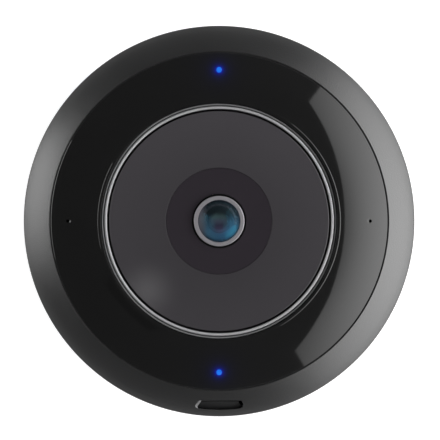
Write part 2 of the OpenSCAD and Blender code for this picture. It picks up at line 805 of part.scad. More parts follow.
module filter_coil() {
    yoke_t = 1.2;
    coil_r = 1.3;
    x0 = rotor_d / 2 + 1;
    x1 = cavity_l / 2 - 0.4;
    color([0.72, 0.4, 0.16]) translate([0, pivot_y, z_sensor1]) {
        translate([x0, 0, coil_r + 0.1]) rotate([0, 90, 0]) cylinder(r = coil_r, h = x1 - x0);
        for (x = [x0, x1 - yoke_t]) translate([x, -1.8, 0]) cube([yoke_t, 3.6, 2.2]);
    }
}

// Where one pane lies in the slider at rest: side is 1 for the pane over the sensor
function pane_x(side) = side * pane_pitch / 2 - pane_pitch / 2;

module filter_slider() {
    tongue_w = 4;
    slot_y0 = pivot_y + lever_l * cos(lever_swing) - lever_pin_r - 0.2;
    slot_y1 = pivot_y + lever_l + lever_pin_r + 0.1;
    color([0.2, 0.2, 0.22]) difference() {
        union() {
            translate([-pane_pitch / 2, 0, 0]) block([slider_l, slider_w, slider_t], z_slider0);
            translate([-pane_pitch / 2 - tongue_w / 2, slot_y0 - 0.6, z_slider0])
                cube([tongue_w, -slider_w / 2 - slot_y0 + 1, slider_t]);
        }
        for (s = [-1, 1]) translate([pane_x(s), 0, 0]) {
            block([pane_w + 2 * fit_gap, pane_w + 2 * fit_gap, slider_t], z_slider1 - pane_t);
            block([pane_w - 1, pane_w - 1, slider_t + 2], z_slider0 - 1);
        }
        translate([-pane_pitch / 2 - lever_pin_r - 0.25, slot_y0, z_slider0 - 1])
            cube([2 * lever_pin_r + 0.5, slot_y1 - slot_y0, slider_t + 2]);
    }
}

module cut_pane() {
    color([0.3, 0.6, 0.6, 0.6])
        translate([pane_x(1), 0, 0]) block([pane_w, pane_w, pane_t], z_slider1 - pane_t);
}

module clear_pane() {
    color([0.85, 0.9, 0.9, 0.5])
        translate([pane_x(-1), 0, 0]) block([pane_w, pane_w, pane_t], z_slider1 - pane_t);
}

module filter_lever() {
    z_arm0 = z_slider0 - 0.15 - arm_t;
    color([0.35, 0.33, 0.3]) translate([0, pivot_y, 0]) difference() {
        union() {
            rod(rotor_d / 2, z_sensor1 + 0.3, z_slider0 + 0.3);
            rotate([0, 0, 90 + lever_swing]) {
                translate([0, -arm_w / 2, z_arm0]) cube([lever_l, arm_w, arm_t]);
                translate([lever_l, 0, 0]) rod(arm_w / 2, z_arm0, z_arm0 + arm_t);
                translate([lever_l, 0, 0]) rod(lever_pin_r, z_arm0, z_slider1);
            }
        }
        rod(pivot_pin_r + run_gap, z_sensor1, z_slider1 + 1);
    }
}

module image_sensor() {
    color([0.25, 0.22, 0.3]) block(sensor_size, z_sensor1);
}

module sensor_board() {
    color([0.05, 0.22, 0.12]) difference() {
        translate([-sensor_board_x / 2, sensor_board_y0, z_sensor0])
            cube([sensor_board_x, sensor_board_y1 - sensor_board_y0, small_board_t]);
        for (s = [-1, 1], y = standoff_y)
            translate([s * standoff_x, y, 0]) rod(board_screw_d / 2 - 0.4, z_sensor0 - 1, z_sensor1 + 1);
    }
}

module sensor_standoffs() {
    color([0.75, 0.7, 0.5]) for (s = [-1, 1], y = standoff_y) translate([s * standoff_x, y, 0])
        difference() {
            rod(standoff_r, z_board1, z_sensor0);
            rod(board_screw_d / 2 - 0.4, z_board1 + 0.5, z_sensor0 + 1);
        }
}

module sensor_screws() {
    color([0.6, 0.6, 0.62]) for (s = [-1, 1], y = standoff_y) translate([s * standoff_x, y, 0])
        screw_down(standoff_r - 0.2, 1, board_screw_d / 2 - 0.4 - fit_gap, z_board1 + 1, z_sensor1 + 1);
}

module sensor_connector() {
    color([0.8, 0.78, 0.72]) translate([0, standoff_y[1] - 1, 0])
        block([connector_l, connector_w, z_sensor0 - z_board1], z_board1);
}

module front_chassis() {
    color([0.09, 0.09, 0.1]) difference() {
        union() {
            ring(hat_ro - hat_t, chassis_ro, z_chassis0, z_chassis1);
            ring(hat_ro - hat_t, hat_ro, z_chassis0, z_seat1);
            ring(spout_ri, hat_ro, z_seat0, z_seat1);
            ring(spout_ri, spout_ro, z_seat0, z_shroud0);
            rotate([0, 0, 45]) around(screw_pos, turns4) rod(column_r, z_chassis0, z_chassis1);
        }
        rotate([0, 0, 45]) around(screw_pos, turns4)
            rod(housing_screw_d / 2 + 0.2, z_chassis0 - 1, z_chassis1 + 1);
        translate([led_flex_pos, 0, 0]) block([flex_t + 1, flex_w + 1, tall], z_seat0 - 1);
        rotate([0, 0, signal_flex_turn]) translate([signal_flex_pos, 0, 0])
            block([flex_t + 1, flex_w + 1, chassis_t + 2], z_chassis0 - 1);
        translate([-holder_l / 2 - slide_gap, holder_y0 - slide_gap, z_holder1 + slide_gap - tall])
            cube([holder_l + 2 * slide_gap, holder_w + 2 * slide_gap, tall]);
    }
}

module ir_board() {
    color([0.08, 0.2, 0.12]) ring(ir_board_ri, ir_board_ro, z_seat1, z_ir1);
}

module ir_emitters() {
    base = 3.2;
    base_h = 0.8;
    lens_r = 1.4;
    color([0.85, 0.8, 0.7]) around(emitter_pos, [for (i = [0 : emitters - 1]) (i + 0.5) * 360 / emitters]) {
        block([base, base, base_h], z_ir1);
        intersection() {
            translate([0, 0, z_ir1 + base_h - 0.4]) sphere(lens_r);
            rod(lens_r, z_ir1 + base_h - 0.1, tall);
        }
    }
}

module ir_baffle() {
    ro = spout_ro + 1.9;
    color([0.04, 0.04, 0.04]) ring(spout_ro + fit_gap, ro, z_ir1, window_under(ro) - fit_gap);
}

module led_flex() {
    color([0.75, 0.5, 0.15])
        translate([led_flex_pos, 0, 0]) block([flex_t, flex_w, z_seat1 - z_board1], z_board1);
}

module indicator_board() {
    color([0.08, 0.2, 0.12]) difference() {
        ring(indicator_ri, indicator_ro, z_chassis1, z_indicator1);
        rotate([0, 0, 45]) around(screw_pos, turns4) rod(column_r, z_chassis1 - 1, z_indicator1 + 1);
    }
}

module status_lamps() {
    color([0.2, 0.4, 1]) around(signal_pos, lamp_turns) block(lamp_size, z_indicator1);
}

module light_pipes() {
    z0 = z_indicator1 + lamp_size[2];
    z_collar = front_under(signal_pos + pipe_collar_r) - fit_gap;
    color([0.7, 0.8, 1, 0.7]) around(signal_pos, lamp_turns) {
        rod(pipe_r, z0, front_z(signal_pos + pipe_r) - 0.05);
        rod(pipe_collar_r, z_collar - 1.2, z_collar);
    }
}

module microphones() {
    color([0.7, 0.65, 0.45]) around(signal_pos, mic_turns) rod(mic_r, z_indicator1, z_indicator1 + mic_h);
}

module mic_gaskets() {
    color([0.05, 0.05, 0.05]) around(signal_pos, mic_turns) difference() {
        rod(gasket_r, z_indicator1, front_under(signal_pos + gasket_r) - fit_gap);
        rod(mic_r + fit_gap, z_indicator1 - 1, z_indicator1 + mic_h + fit_gap);
        rod(mic_hole_d / 2, z_indicator1, tall);
    }
}

module signal_flex() {
    color([0.75, 0.5, 0.15]) rotate([0, 0, signal_flex_turn]) translate([signal_flex_pos, 0, 0])
        block([flex_t, flex_w, z_chassis1 - z_board1], z_board1);
}

module main_board() {
    color([0.05, 0.25, 0.13]) difference() {
        rod(main_board_r, z_board0, z_board1);
        around(post_pos, turns4) rod(board_screw_d / 2 + 0.2, z_board0 - 1, z_board1 + 1);
    }
}

module processor() {
    color([0.12, 0.12, 0.12]) rotate([0, 0, chip_turn]) translate([chip_pos, 0, 0])
        block(chip_size, z_board0 - chip_size[2]);
}

module thermal_pad() {
    color([0.55, 0.6, 0.7]) rotate([0, 0, chip_turn]) translate([chip_pos, 0, 0])
        block([chip_size[0] - 2, chip_size[1] - 2, pad_t], z_board0 - chip_size[2] - pad_t);
}

module memory_chips() {
    color([0.1, 0.1, 0.1]) around(chip_pos - 2, memory_turns) block(memory_size, z_board1);
}

module power_transformer() {
    color([0.2, 0.17, 0.12]) rotate([0, 0, transformer_turn]) translate([chip_pos, 0, 0])
        block(transformer_size, z_board0 - transformer_size[2]);
}

module inductors() {
    color([0.25, 0.25, 0.27]) around(chip_pos + 1, inductor_turns)
        block(inductor_size, z_board0 - inductor_size[2]);
}

module capacitors() {
    color([0.5, 0.52, 0.56]) around(chip_pos + 1, capacitor_turns)
        rod(capacitor_r, z_board0 - capacitor_h, z_board0);
}

module flex_sockets() {
    offset_x = flex_t / 2 + flex_socket_size[0] / 2;
    color([0.85, 0.82, 0.75]) {
        translate([led_flex_pos + offset_x, 0, 0]) block(flex_socket_size, z_board1);
        rotate([0, 0, signal_flex_turn]) translate([signal_flex_pos - offset_x, 0, 0])
            block(flex_socket_size, z_board1);
    }
}

module network_jack() {
    color([0.7, 0.71, 0.73]) difference() {
        translate([-jack_w / 2, jack_y0, z_jack0]) cube([jack_w, jack_l, jack_h]);
        translate([-plug_w / 2, jack_y0 - 1, plug_z0]) cube([plug_w, plug_l + 1, plug_h]);
        translate([-3, jack_y0 - 1, z_jack0 + 0.5]) cube([6, plug_l - 5, jack_wall]);
    }
}

module jack_contacts() {
    z1 = plug_z0 + plug_h;
    color([0.85, 0.68, 0.3]) for (i = [0 : 7])
        translate([(i - 3.5) * contact_pitch - contact_t / 2, jack_y0 + 2.5, z1 - 0.8])
            cube([contact_t, plug_l - 2.5, 0.8]);
}

module reset_switch() {
    color([0.3, 0.3, 0.32]) translate(reset_xy) {
        block([5, 5, switch_h - 0.5], z_switch0 + 0.5);
        rod(1.4, z_switch0, z_switch0 + 1);
    }
}

module reset_plunger() {
    color([0.75, 0.75, 0.77]) translate(reset_xy) {
        rod(plunger_r, z_sump0 + plunger_sunk, z_plunger1);
        rod(plunger_r + 1, z_guide1 + 0.1, z_guide1 + 0.1 + collar_h);
    }
}

module release_latch() {
    color([0.07, 0.07, 0.07]) {
        intersection() {
            translate([0, 0, z_bar0]) linear_extrude(tall) slot_outline(latch_gap);
            rotate_extrude() difference() {
                arc_slice(shoulder_c, shoulder_r - latch_recess, slot_ri - 1, slot_ro + 1);
                translate([0, z_bar0 - tall]) square([body_r, tall]);
            }
        }
        intersection() {
            union() {
                ring(bar_ri, slot_ro - latch_gap - 0.3, z_bar0, z_bar0 + bar_t);
                ring(blade_ri, blade_ro, z_ear0, z_bar0 + bar_t);
                ring(foot_ri, blade_ro, z_ear0, z_ear1);
            }
            translate([0, -body_r, 0]) block([blade_w, body_r, tall], 0);
        }
    }
}

// The latch spring: a wire along a helix, with rings of points joined into a tube
coil_rings = 8;
wire_sides = 6;
spring_z0 = z_floor1 + spring_wire / 2 + 0.05;
spring_z1 = z_bar0 - spring_wire / 2 - 0.05;
spring_count = spring_turns * coil_rings;
spring_step = (spring_z1 - spring_z0) / spring_count;
function spring_point(i, k) =
    let (a = 360 * i / coil_rings, b = 360 * k / wire_sides, r = spring_d / 2 + spring_wire / 2 * cos(b))
    [r * cos(a), r * sin(a), spring_z0 + spring_step * i + spring_wire / 2 * sin(b)];
spring_points = [for (i = [0 : spring_count], k = [0 : wire_sides - 1]) spring_point(i, k)];
spring_self_gap = (spring_z1 - spring_z0) / spring_turns - spring_wire;
echo(spring_self_gap = spring_self_gap);

module latch_spring() {
    last = spring_count * wire_sides;
    color([0.7, 0.7, 0.72]) translate([0, -spring_pos, 0]) polyhedron(spring_points, concat(
        [for (k = [1 : wire_sides - 2]) [0, k, k + 1]],
        [for (k = [1 : wire_sides - 2]) [last, last + k + 1, last + k]],
        [for (i = [0 : spring_count - 1], k = [0 : wire_sides - 1])
            let (a = i * wire_sides + k, b = i * wire_sides + (k + 1) % wire_sides)
            [a, a + wire_sides, b]],
        [for (i = [0 : spring_count - 1], k = [0 : wire_sides - 1])
            let (a = i * wire_sides + k, b = i * wire_sides + (k + 1) % wire_sides)
            [b, a + wire_sides, b + wire_sides]]));
}

module board_screws() {
    color([0.6, 0.6, 0.62]) around(post_pos, turns4)
        screw_down(board_screw_d / 2 + 1, board_head_h, board_screw_d / 2,
                   z_board0 - board_screw_bite, z_board1 + board_head_h);
}

module housing_screws() {
    color([0.55, 0.55, 0.57]) rotate([0, 0, 45]) around(screw_pos, turns4)
        screw(head_r, head_h, housing_screw_d / 2, z_head0, z_ledge1 - 1.4);
}

mounting_plate();
base_housing();
body_seal();
front_bezel();
front_ring();
trim_ring();
ir_window();
lens_shroud();
lens_ring();
lens_seal();
front_glass();
second_element();
third_element();
aperture_stop();
rear_element();
rear_retainer();
lens_barrel();
lens_holder();
filter_box();
filter_coil();
filter_slider();
cut_pane();
clear_pane();
filter_lever();
image_sensor();
sensor_board();
sensor_standoffs();
sensor_screws();
sensor_connector();
front_chassis();
ir_board();
ir_emitters();
ir_baffle();
led_flex();
indicator_board();
status_lamps();
light_pipes();
microphones();
mic_gaskets();
signal_flex();
main_board();
processor();
thermal_pad();
memory_chips();
power_transformer();
inductors();
capacitors();
flex_sockets();
network_jack();
jack_contacts();
reset_switch();
reset_plunger();
release_latch();
latch_spring();
board_screws();
housing_screws();
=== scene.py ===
"""Round ceiling camera with an all-round view.

Makes the camera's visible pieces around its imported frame: the satin bezel with the release slot, the
glossy front ring, the bright trim ring, the smoked window, the lens, the painted base, the mounting
plate and the network socket. Then it sets up a white stage."""

import json
import math

import bmesh
import bpy
from bpy.props import FloatProperty, FloatVectorProperty, IntProperty, PointerProperty
from bpy.types import Operator, Panel, PropertyGroup
from mathutils import Matrix, Vector


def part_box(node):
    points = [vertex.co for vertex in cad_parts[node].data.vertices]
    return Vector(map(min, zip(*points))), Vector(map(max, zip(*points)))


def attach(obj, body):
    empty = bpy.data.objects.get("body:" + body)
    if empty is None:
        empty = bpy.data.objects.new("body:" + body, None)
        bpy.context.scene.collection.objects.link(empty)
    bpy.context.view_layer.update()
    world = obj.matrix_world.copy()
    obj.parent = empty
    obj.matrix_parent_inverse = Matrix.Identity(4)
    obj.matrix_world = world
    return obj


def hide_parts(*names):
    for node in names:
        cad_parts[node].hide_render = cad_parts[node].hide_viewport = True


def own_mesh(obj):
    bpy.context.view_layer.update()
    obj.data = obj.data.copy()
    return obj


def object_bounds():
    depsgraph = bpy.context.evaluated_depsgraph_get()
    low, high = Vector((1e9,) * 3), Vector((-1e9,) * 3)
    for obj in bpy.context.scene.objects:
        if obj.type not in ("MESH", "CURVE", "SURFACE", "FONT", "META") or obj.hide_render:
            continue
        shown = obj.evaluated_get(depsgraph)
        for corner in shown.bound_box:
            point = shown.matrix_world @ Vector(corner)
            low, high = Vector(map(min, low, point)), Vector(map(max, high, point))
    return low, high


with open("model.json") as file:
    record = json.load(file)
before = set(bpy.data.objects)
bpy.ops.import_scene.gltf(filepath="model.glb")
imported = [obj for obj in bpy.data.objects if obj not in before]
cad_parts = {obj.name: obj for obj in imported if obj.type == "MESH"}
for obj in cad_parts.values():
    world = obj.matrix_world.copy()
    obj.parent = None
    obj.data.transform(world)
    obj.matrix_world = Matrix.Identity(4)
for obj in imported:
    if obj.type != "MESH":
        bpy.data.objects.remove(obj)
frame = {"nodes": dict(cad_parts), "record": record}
cad_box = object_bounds()

bl_info = {
    "name": "Round ceiling camera",
    "version": (1, 0, 0),
    "blender": (4, 5, 0),
    "location": "View3D > Sidebar > Camera part",
    "description": "Visible pieces, finishes and stage of a round ceiling camera",
    "category": "Object",
}

MM = 0.001
BLACK = (0.0, 0.0, 0.0)
WHITE = (1.0, 1.0, 1.0)

# Width of the square picture and radius of the rim in it, in pixels
PHOTO_PIXELS = 440
RIM_PIXELS = 195.35

# Points closer than this are one point
MERGE = 0.001 * MM

# Edges that turn more than this stay sharp in a turned piece, or are rounded in a softened copy
CREASE = math.radians(35.0)
ROUNDED_CREASE = math.radians(40.0)

# Facets that turn less than this against each other become one
FLAT = math.radians(0.5)

# A facet belongs to a round wall if its normal goes this far sideways and is this close to the radius
WALL_TILT = 0.2
ROUND_FIT = math.cos(math.radians(3.0))

# Distance of a support point from the end of a fillet
SUPPORT = 0.05 * MM

# Turn of the fillet on the front ring's lip
LIP_FALL = math.radians(45)

# Front edge of the right light: degrees to its side, and height as a share of its full height
RIGHT_EDGE = (
    (53, 0.95), (42, 0.919), (33, 0.925), (12, 0.98), (0, 1.0), (-23, 1.0), (-34, 0.985), (-42, 1.007),
    (-50, 1.033), (-56, 1.077), (-59.6, 1.114))


def length(name, description, millimetres):
    """A size that the user may change, given in millimetres and kept in metres."""
    return FloatProperty(
        name=name, description=description, default=millimetres * MM, min=0.0,
        unit="LENGTH", subtype="DISTANCE", precision=5)


def slope(name, description, degrees):
    """An angle that the user may change, given in degrees."""
    return FloatProperty(
        name=name, description=description, default=math.radians(degrees), unit="ROTATION", subtype="ANGLE")


def colour(name, description, rgb):
    """A colour that the user may change, in linear light."""
    return FloatVectorProperty(
        name=name, description=description, default=rgb, size=3, min=0.0, max=1.0, subtype="COLOR")


def brightness(name, description, default):
    """A strength of light that the user may change."""
    return FloatProperty(name=name, description=description, default=default, min=0.0)


class CameraSizes(PropertyGroup):
    """Sizes of the visible pieces that the frame's boxes don't give."""

    segments: IntProperty(
        name="Segments", description="Steps around each turned piece", default=288, min=48, max=512)
    wall: length("Wall", "Thickness of the bezel's wall", 2.2)
    bezel_width: length("Bezel width", "Width of the bezel, seen from the front", 9.2)
    gap_depth: length("Gap depth", "Depth of the gap between the bezel and the front ring", 0.5)
    ledge_width: length("Ledge width", "Reach of the bezel's ledge under the front ring", 3.9)
    ledge_wall: length("Ledge thickness", "Thickness of that ledge", 1.6)
    shoulder_radius: length("Shoulder radius", "Radius of the bezel's shoulder in section", 31.6)
    shoulder_slope: slope("Shoulder slope", "Slope of the shoulder at its inner edge", 25.0)
    rim_fillet: length("Rim fillet", "Fillet of the bezel's rim", 0.8)
    edge_fillet: length("Edge fillet", "Fillet of small moulded edges", 0.22)
    bezel_edge: length("Bezel edge", "Fillet of the bezel's inner edge", 0.12)
    front_edge: length("Front ring edge", "Fillet of the front ring's outer edge", 0.5)
    crisp_edge: length("Crisp edge", "Fillet of the edges beside narrow gaps", 0.07)
    slot_inner: length("Slot inner edge", "Distance from the axis to the slot's inner edge", 64.4)
    slot_outer: length("Slot outer edge", "Radius of the slot's outer edge", 67.5)
    slot_width: length("Slot width", "Width of the release slot at its inner edge", 14.0)
    slot_flare: slope("Slot flare", "Slant of the slot's ends", 30.0)
    slot_ease: length("Slot ease", "How far the slot's long edges open at the top", 0.1)
    slot_corner: length("Slot corner", "Fillet of the slot's outer corners below its edge", 0.54)
    slot_left_corner: length("Slot left corner", "Fillet of the slot's outer corner on the left", 1.035)
    slot_right_corner: length("Slot right corner", "Fillet of the slot's outer corner on the right", 1.44)
    slot_right_spread: length("Slot right end", "How far the slot's right end stands off the latch", 0.9)
    slot_bevel_width: length("Slot bevel width", "Width of the bevel at the slot's left end", 0.72)
    slot_bevel_out: length("Slot bevel reach", "How far that bevel reaches beyond the slot's end", 0.1584)
    slot_bevel_depth: length("Slot bevel depth", "Depth of the bevel at the slot's left end", 0.75)
    slot_brow: slope("Slot brow", "Slant of the bevel's upper edge", 46.0)
    slot_foot: slope("Slot foot", "Slant of the bevel's lower edge", 37.0)
    front_width: length("Front ring width", "Width of the glossy front ring", 18.05)
    front_curve: length("Front ring curve", "Radius of the front ring's curve in section", 78.3)
    front_slope: slope("Front ring slope", "Slope of the front ring at its outer edge", 21.7)
    front_wall: length("Front ring wall", "Thickness of the front ring", 2.2)
    lip_width: length("Lip width", "Width of the raised lip on the front ring's inner edge", 1.2)
    lip_round: length("Lip fillet", "Fillet on the outer side of that lip", 0.5)
    shelf_wall: length("Shelf thickness", "Thickness of the shelf under the window and the trim ring", 1.4)
    shelf_lap: length("Shelf lap", "Reach of that shelf under the window", 2.2)
    signal_radius: length("Signal circle", "Distance from the axis to the lamps and microphone holes", 54.2)
    lamp_diameter: length("Lamp", "Diameter of the lit windows", 2.1)
    microphone_diameter: length("Microphone hole", "Diameter of the microphone holes", 1.1)
    sink_width: length("Countersink width", "Width of the countersink on the lens side of a hole", 0.5)
    sink_slope: slope("Countersink slope", "Slope of that countersink", 33.0)
    large_bead: length("Large bead", "Radius of the trim ring's larger bead", 0.55)
    small_bead: length("Small bead", "Radius of the trim ring's smaller bead", 0.3)
    bead_step: length("Bead step", "How far the smaller bead lies below the larger one", 0.25)
    bead_groove: length("Bead groove", "Depth of the groove between the beads", 0.45)
    trim_width: length("Trim width", "Width of the trim ring", 2.0)
    window_dome: length("Window dome", "Radius of the window's dome", 250.0)
    window_inner: length("Window hole", "Radius of the hole in the window", 19.1)
    window_wall: length("Window thickness", "Thickness of the window", 2.0)
    shroud_hole: length("Shroud hole", "Radius of the hole in the shroud", 9.75)
    lens_hole: length("Lens ring hole", "Radius of the hole in the lens ring", 7.56)
    glass_dome: length("Glass dome", "Radius of the front glass's dome", 9.0)
    glass_wall: length("Glass thickness", "Thickness of the front glass at its middle", 1.2)
    hollow_radius: length("Glass hollow", "Radius of the hollow under the front glass", 5.6)
    inner_dome: length("Inner dome", "Radius of the second lens element's dome", 7.6)


class CameraFinish(PropertyGroup):
    """Colours of the visible pieces."""

    bezel: colour("Bezel", "Satin coating of the bezel", (0.016, 0.016, 0.0165))
    # Painted highlight on the slot's left bevel, given the colour of bare worn metal
    slot_bevel: colour("Slot bevel", "Bare metal where the slot's bevel is worn", (0.19, 0.19, 0.195))
    base: colour("Base", "Textured paint of the base", (0.030, 0.030, 0.031))
    front_ring: colour("Front ring", "Polished black of the front ring", (0.0085, 0.0085, 0.0085))
    trim: colour("Trim ring", "Bright metal of the trim ring", (0.42, 0.42, 0.43))
    window: colour("Window", "Smoked plastic of the window", (0.047, 0.044, 0.0485))
    shroud: colour("Shroud", "Dark plastic around the lens", (0.0165, 0.0128, 0.0175))
    lens_ring: colour("Lens ring", "Anodised metal of the lens ring", (0.357, 0.345, 0.369))
    lamp: colour("Lamp", "Light of the status lamps", (0.010, 0.138, 0.66))
    # Colour of the painted glow that the front ring gives off around a lamp
    glow: colour("Lamp glow", "Light that the front ring spreads around a lamp", (0.0, 0.006, 0.30))
    plate: colour("Mounting plate", "Plated steel of the mounting plate", (0.52, 0.53, 0.55))
    board: colour("Boards", "Solder mask of the circuit boards", (0.010, 0.085, 0.035))


class StageSettings(PropertyGroup):
    """Light and framing of the stage. Angles of lights are as seen from the camera part."""

    ambient: brightness("Ambient", "Light from the horizon", 0.22)
    zenith: brightness("Zenith", "Light from straight above", 0.05)
    floor_light: brightness("Floor light", "Light that the white floor sends up", 0.15)
    floor_seen: brightness("Floor, seen", "What the floor adds to that where it is seen", 0.75)
    floor_mirrored: brightness("Floor, mirrored", "What the floor adds where it is mirrored", 0.09)
    side_distance: length("Side light distance", "Distance from the axis to both side lights", 1200.0)
    right_front: brightness("Right light, front", "Brightness of the right light's front edge", 1.2)
    right_back: brightness("Right light, back", "Brightness of the right light's back half", 4.4)
    right_top: slope("Right light, top", "Angle from the axis to the right light's front edge", 20.4)
    right_full: slope("Right light, full", "Angle from the axis to the right light's full brightness", 43.0)
    left_light: brightness("Left light", "Brightness of the left light", 3.4)
    left_top: slope("Left light, top", "Angle from the axis to the left light's front edge", 45.5)
    left_low: slope("Left light, low", "Angle to the left light's lower end", 13.0)
    left_high: slope("Left light, high", "Angle to the left light's upper end", 28.5)
    soft_light: brightness("Soft light", "Brightness of the soft light beside the viewer", 1.5)
    soft_lean: slope("Soft light, lean", "Angle from the axis to the soft light", 17.6)
    soft_turn: slope("Soft light, turn", "Angle around the axis to the soft light", 224.0)
    soft_distance: length("Soft light distance", "Distance from the origin to the soft light", 1200.0)
    soft_reach: length("Soft light reach", "Half the width of the soft light", 120.0)
    view_distance: length("View distance", "Height of the view over the floor", 800.0)
    shift_x: length("Shift X", "Offset of the view to the right", 0.317)
    shift_y: length("Shift Y", "Offset of the view upwards", 0.389)


def joined(operation, swapped=False):
    """A method that joins a value with another one or with a number in a Math node."""

    def method(self, other):
        return self.maths(operation, *((other, self) if swapped else (self, other)))

    return method


class Value:
    """One output of a node. Arithmetic on it adds Math nodes to its tree."""

    __add__, __radd__ = joined("ADD"), joined("ADD", swapped=True)
    __sub__, __rsub__ = joined("SUBTRACT"), joined("SUBTRACT", swapped=True)
    __mul__, __rmul__ = joined("MULTIPLY"), joined("MULTIPLY", swapped=True)
    __truediv__, __pow__, __lt__ = joined("DIVIDE"), joined("POWER"), joined("LESS_THAN")

    def __init__(self, graph, socket):
        self.graph = graph
        self.socket = socket

    def output(self, name):
        """Another output of the same node."""
        return Value(self.graph, self.socket.node.outputs[name])

    def maths(self, operation, *values):
        """A Math node on these numbers or values."""
        return self.graph.add("ShaderNodeMath", dict(enumerate(values)), operation=operation)

    def __neg__(self):
        return self.maths("MULTIPLY", self, -1.0)

    def __abs__(self):
        return self.maths("ABSOLUTE", self)

    def clamped(self):
        """The value kept between 0 and 1."""
        return self.maths("MINIMUM", self.maths("MAXIMUM", self, 0.0), 1.0)

    def ramp(self, start, end):
        """A value that goes from 0 at the start to 1 at the end, in either direction."""
        return ((self - start) * (1.0 / (end - start))).clamped()


class Graph:
    """A node tree that is being filled."""

    def __init__(self, tree):
        self.tree = tree
        tree.nodes.clear()

    def add(self, kind, inputs=None, **settings):
        """Adds a node of any type, with its settings and then its inputs, and returns its first output."""
        node = self.tree.nodes.new(kind)
        for name, value in settings.items():
            if name == "stops":
                elements = node.color_ramp.elements
                while len(elements) < len(value):
                    elements.new(0.5)
                for element, (position, shade) in zip(elements, value):
                    element.position = position
                    element.color = (*shade, 1.0)
            else:
                setattr(node, name, value)
        for key, value in (inputs or {}).items():
            named = [socket for socket in node.inputs if socket.enabled and socket.name == key]
            socket = named[0] if named else node.inputs[key]
            if isinstance(value, Value):
                self.tree.links.new(value.socket, socket)
            else:
                socket.default_value = (*value, 1.0) if socket.type == "RGBA" else value
        outputs = [socket for socket in node.outputs if socket.enabled]
        return Value(self, outputs[0]) if outputs else None


class Finish(Graph):
    """A material that is being made. Patterns lie on the object's own coordinates, in metres."""

    def __init__(self, name):
        self.material = bpy.data.materials.new(f"{name}_finish")
        self.material.use_nodes = True
        super().__init__(self.material.node_tree)
        self.place = self.add("ShaderNodeTexCoord").output("Object")

    def noise(self, size, detail=2.0, stretch=(1.0, 1.0, 1.0)):
        """Noise between 0 and 1 whose grains have about this size."""
        vector = self.add("ShaderNodeMapping", {"Vector": self.place, "Scale": stretch})
        return self.add("ShaderNodeTexNoise", {"Vector": vector, "Scale": 1.0 / size, "Detail": detail})

    def distance(self, point):
        """Distance from a point of the piece."""
        return self.add("ShaderNodeVectorMath", {0: self.place, 1: point}, operation="DISTANCE")

    def axis(self, name):
        """One coordinate of the piece."""
        return self.add("ShaderNodeSeparateXYZ", {"Vector": self.place}).output(name)

    def radius(self):
        """Distance from the camera's axis."""
        return (self.axis("X") ** 2.0 + self.axis("Y") ** 2.0) ** 0.5

    def blend(self, factor, first, second):
        """A colour between two colours."""
        return self.add("ShaderNodeMix", {"Factor": factor, "A": first, "B": second}, data_type="RGBA")

    def shaded(self, factor, rgb, dark, light):
        """A colour that varies between two shares of itself."""
        return self.blend(factor, scaled(rgb, dark), scaled(rgb, light))

    def bump(self, height, depth, strength):
        """A normal that follows a height between 0 and 1."""
        return self.add("ShaderNodeBump", {"Strength": strength, "Distance": depth, "Height": height})

    def surface(self, inputs):
        """Ends the material in a Principled surface."""
        shader = self.add("ShaderNodeBsdfPrincipled", inputs)
        self.add("ShaderNodeOutputMaterial", {"Surface": shader})


def scaled(rgb, share):
    """A colour times a number."""
    return tuple(part * share for part in rgb)


def moulded_plastic(name, rgb, roughness, shine=0.5):
    """Moulded plastic with a fine spark-eroded grain and faint cloudiness."""
    finish = Finish(name)
    fine = finish.noise(0.35 * MM, 3.0)
    cloud = finish.noise(9 * MM, 2.0)
    finish.surface({
        "Base Color": finish.shaded(cloud * 0.6 + fine * 0.4, rgb, 0.86, 1.14),
        "Roughness": (roughness - 0.05) + cloud * 0.06 + fine * 0.04,
        "Specular IOR Level": shine,
        "Normal": finish.bump(fine, 0.015 * MM, 0.4)})


def drawn_metal(name, rgb, roughness, stretch=(1.0, 1.0, 1.0)):
    """Bare or plated metal with fine marks along one direction and slight staining."""
    finish = Finish(name)
    marks = finish.noise(0.25 * MM, 4.0, stretch)
    stain = finish.noise(7 * MM, 3.0)
    finish.surface({
        "Base Color": finish.shaded(stain * 0.7 + marks * 0.3, rgb, 0.84, 1.1),
        "Metallic": 1.0,
        "Roughness": (roughness - 0.08) + stain * 0.08 + marks * 0.08,
        "Normal": finish.bump(marks, 0.006 * MM, 0.35)})


def bezel_finish(colours, sizes):
    """Satin coating over metal: a fine even grain with slight sparkle. The slot's left bevel carries a
    painted highlight in the colour of bare worn metal.
    """
    finish = Finish("bezel_satin")
    grain = finish.noise(0.5 * MM, 3.0)
    flakes = finish.noise(0.16 * MM, 1.0)
    cloud = finish.noise(16 * MM, 2.0)
    shoulder, out = shoulder_arc(sizes), finish.radius()
    level = (shoulder.radius ** 2 - (out - shoulder.centre_r) ** 2.0) ** 0.5 + shoulder.centre_z
    sunk, depth = level - finish.axis("Z"), sizes.slot_bevel_depth
    bevel = sunk.ramp(0.03 * MM, 0.08 * MM) * sunk.ramp(depth + 0.1 * MM, depth + 0.05 * MM)
    middle, reach = (sizes.slot_inner + sizes.slot_outer) / 2, sizes.slot_outer - sizes.slot_inner
    right_end = sizes.slot_bevel_width * 1.36 - sizes.slot_width / 2
    # Kept to the slot's left end: the bright colour there is a painted highlight
    bevel = bevel * (abs(out - middle) < reach * 0.7) * (finish.axis("X") < right_end)
    satin = finish.shaded(flakes * 0.6 + cloud * 0.4, colours.bezel, 0.75, 1.25)
    finish.surface({
        "Base Color": finish.blend(bevel, satin, colours.slot_bevel),
        "Metallic": bevel * 0.3,
        "Roughness": 0.25 + grain * 0.08 + cloud * 0.03 + bevel * 0.2,
        "Specular IOR Level": 1.0,
        "Normal": finish.bump(grain, 0.06 * MM, 0.9)})


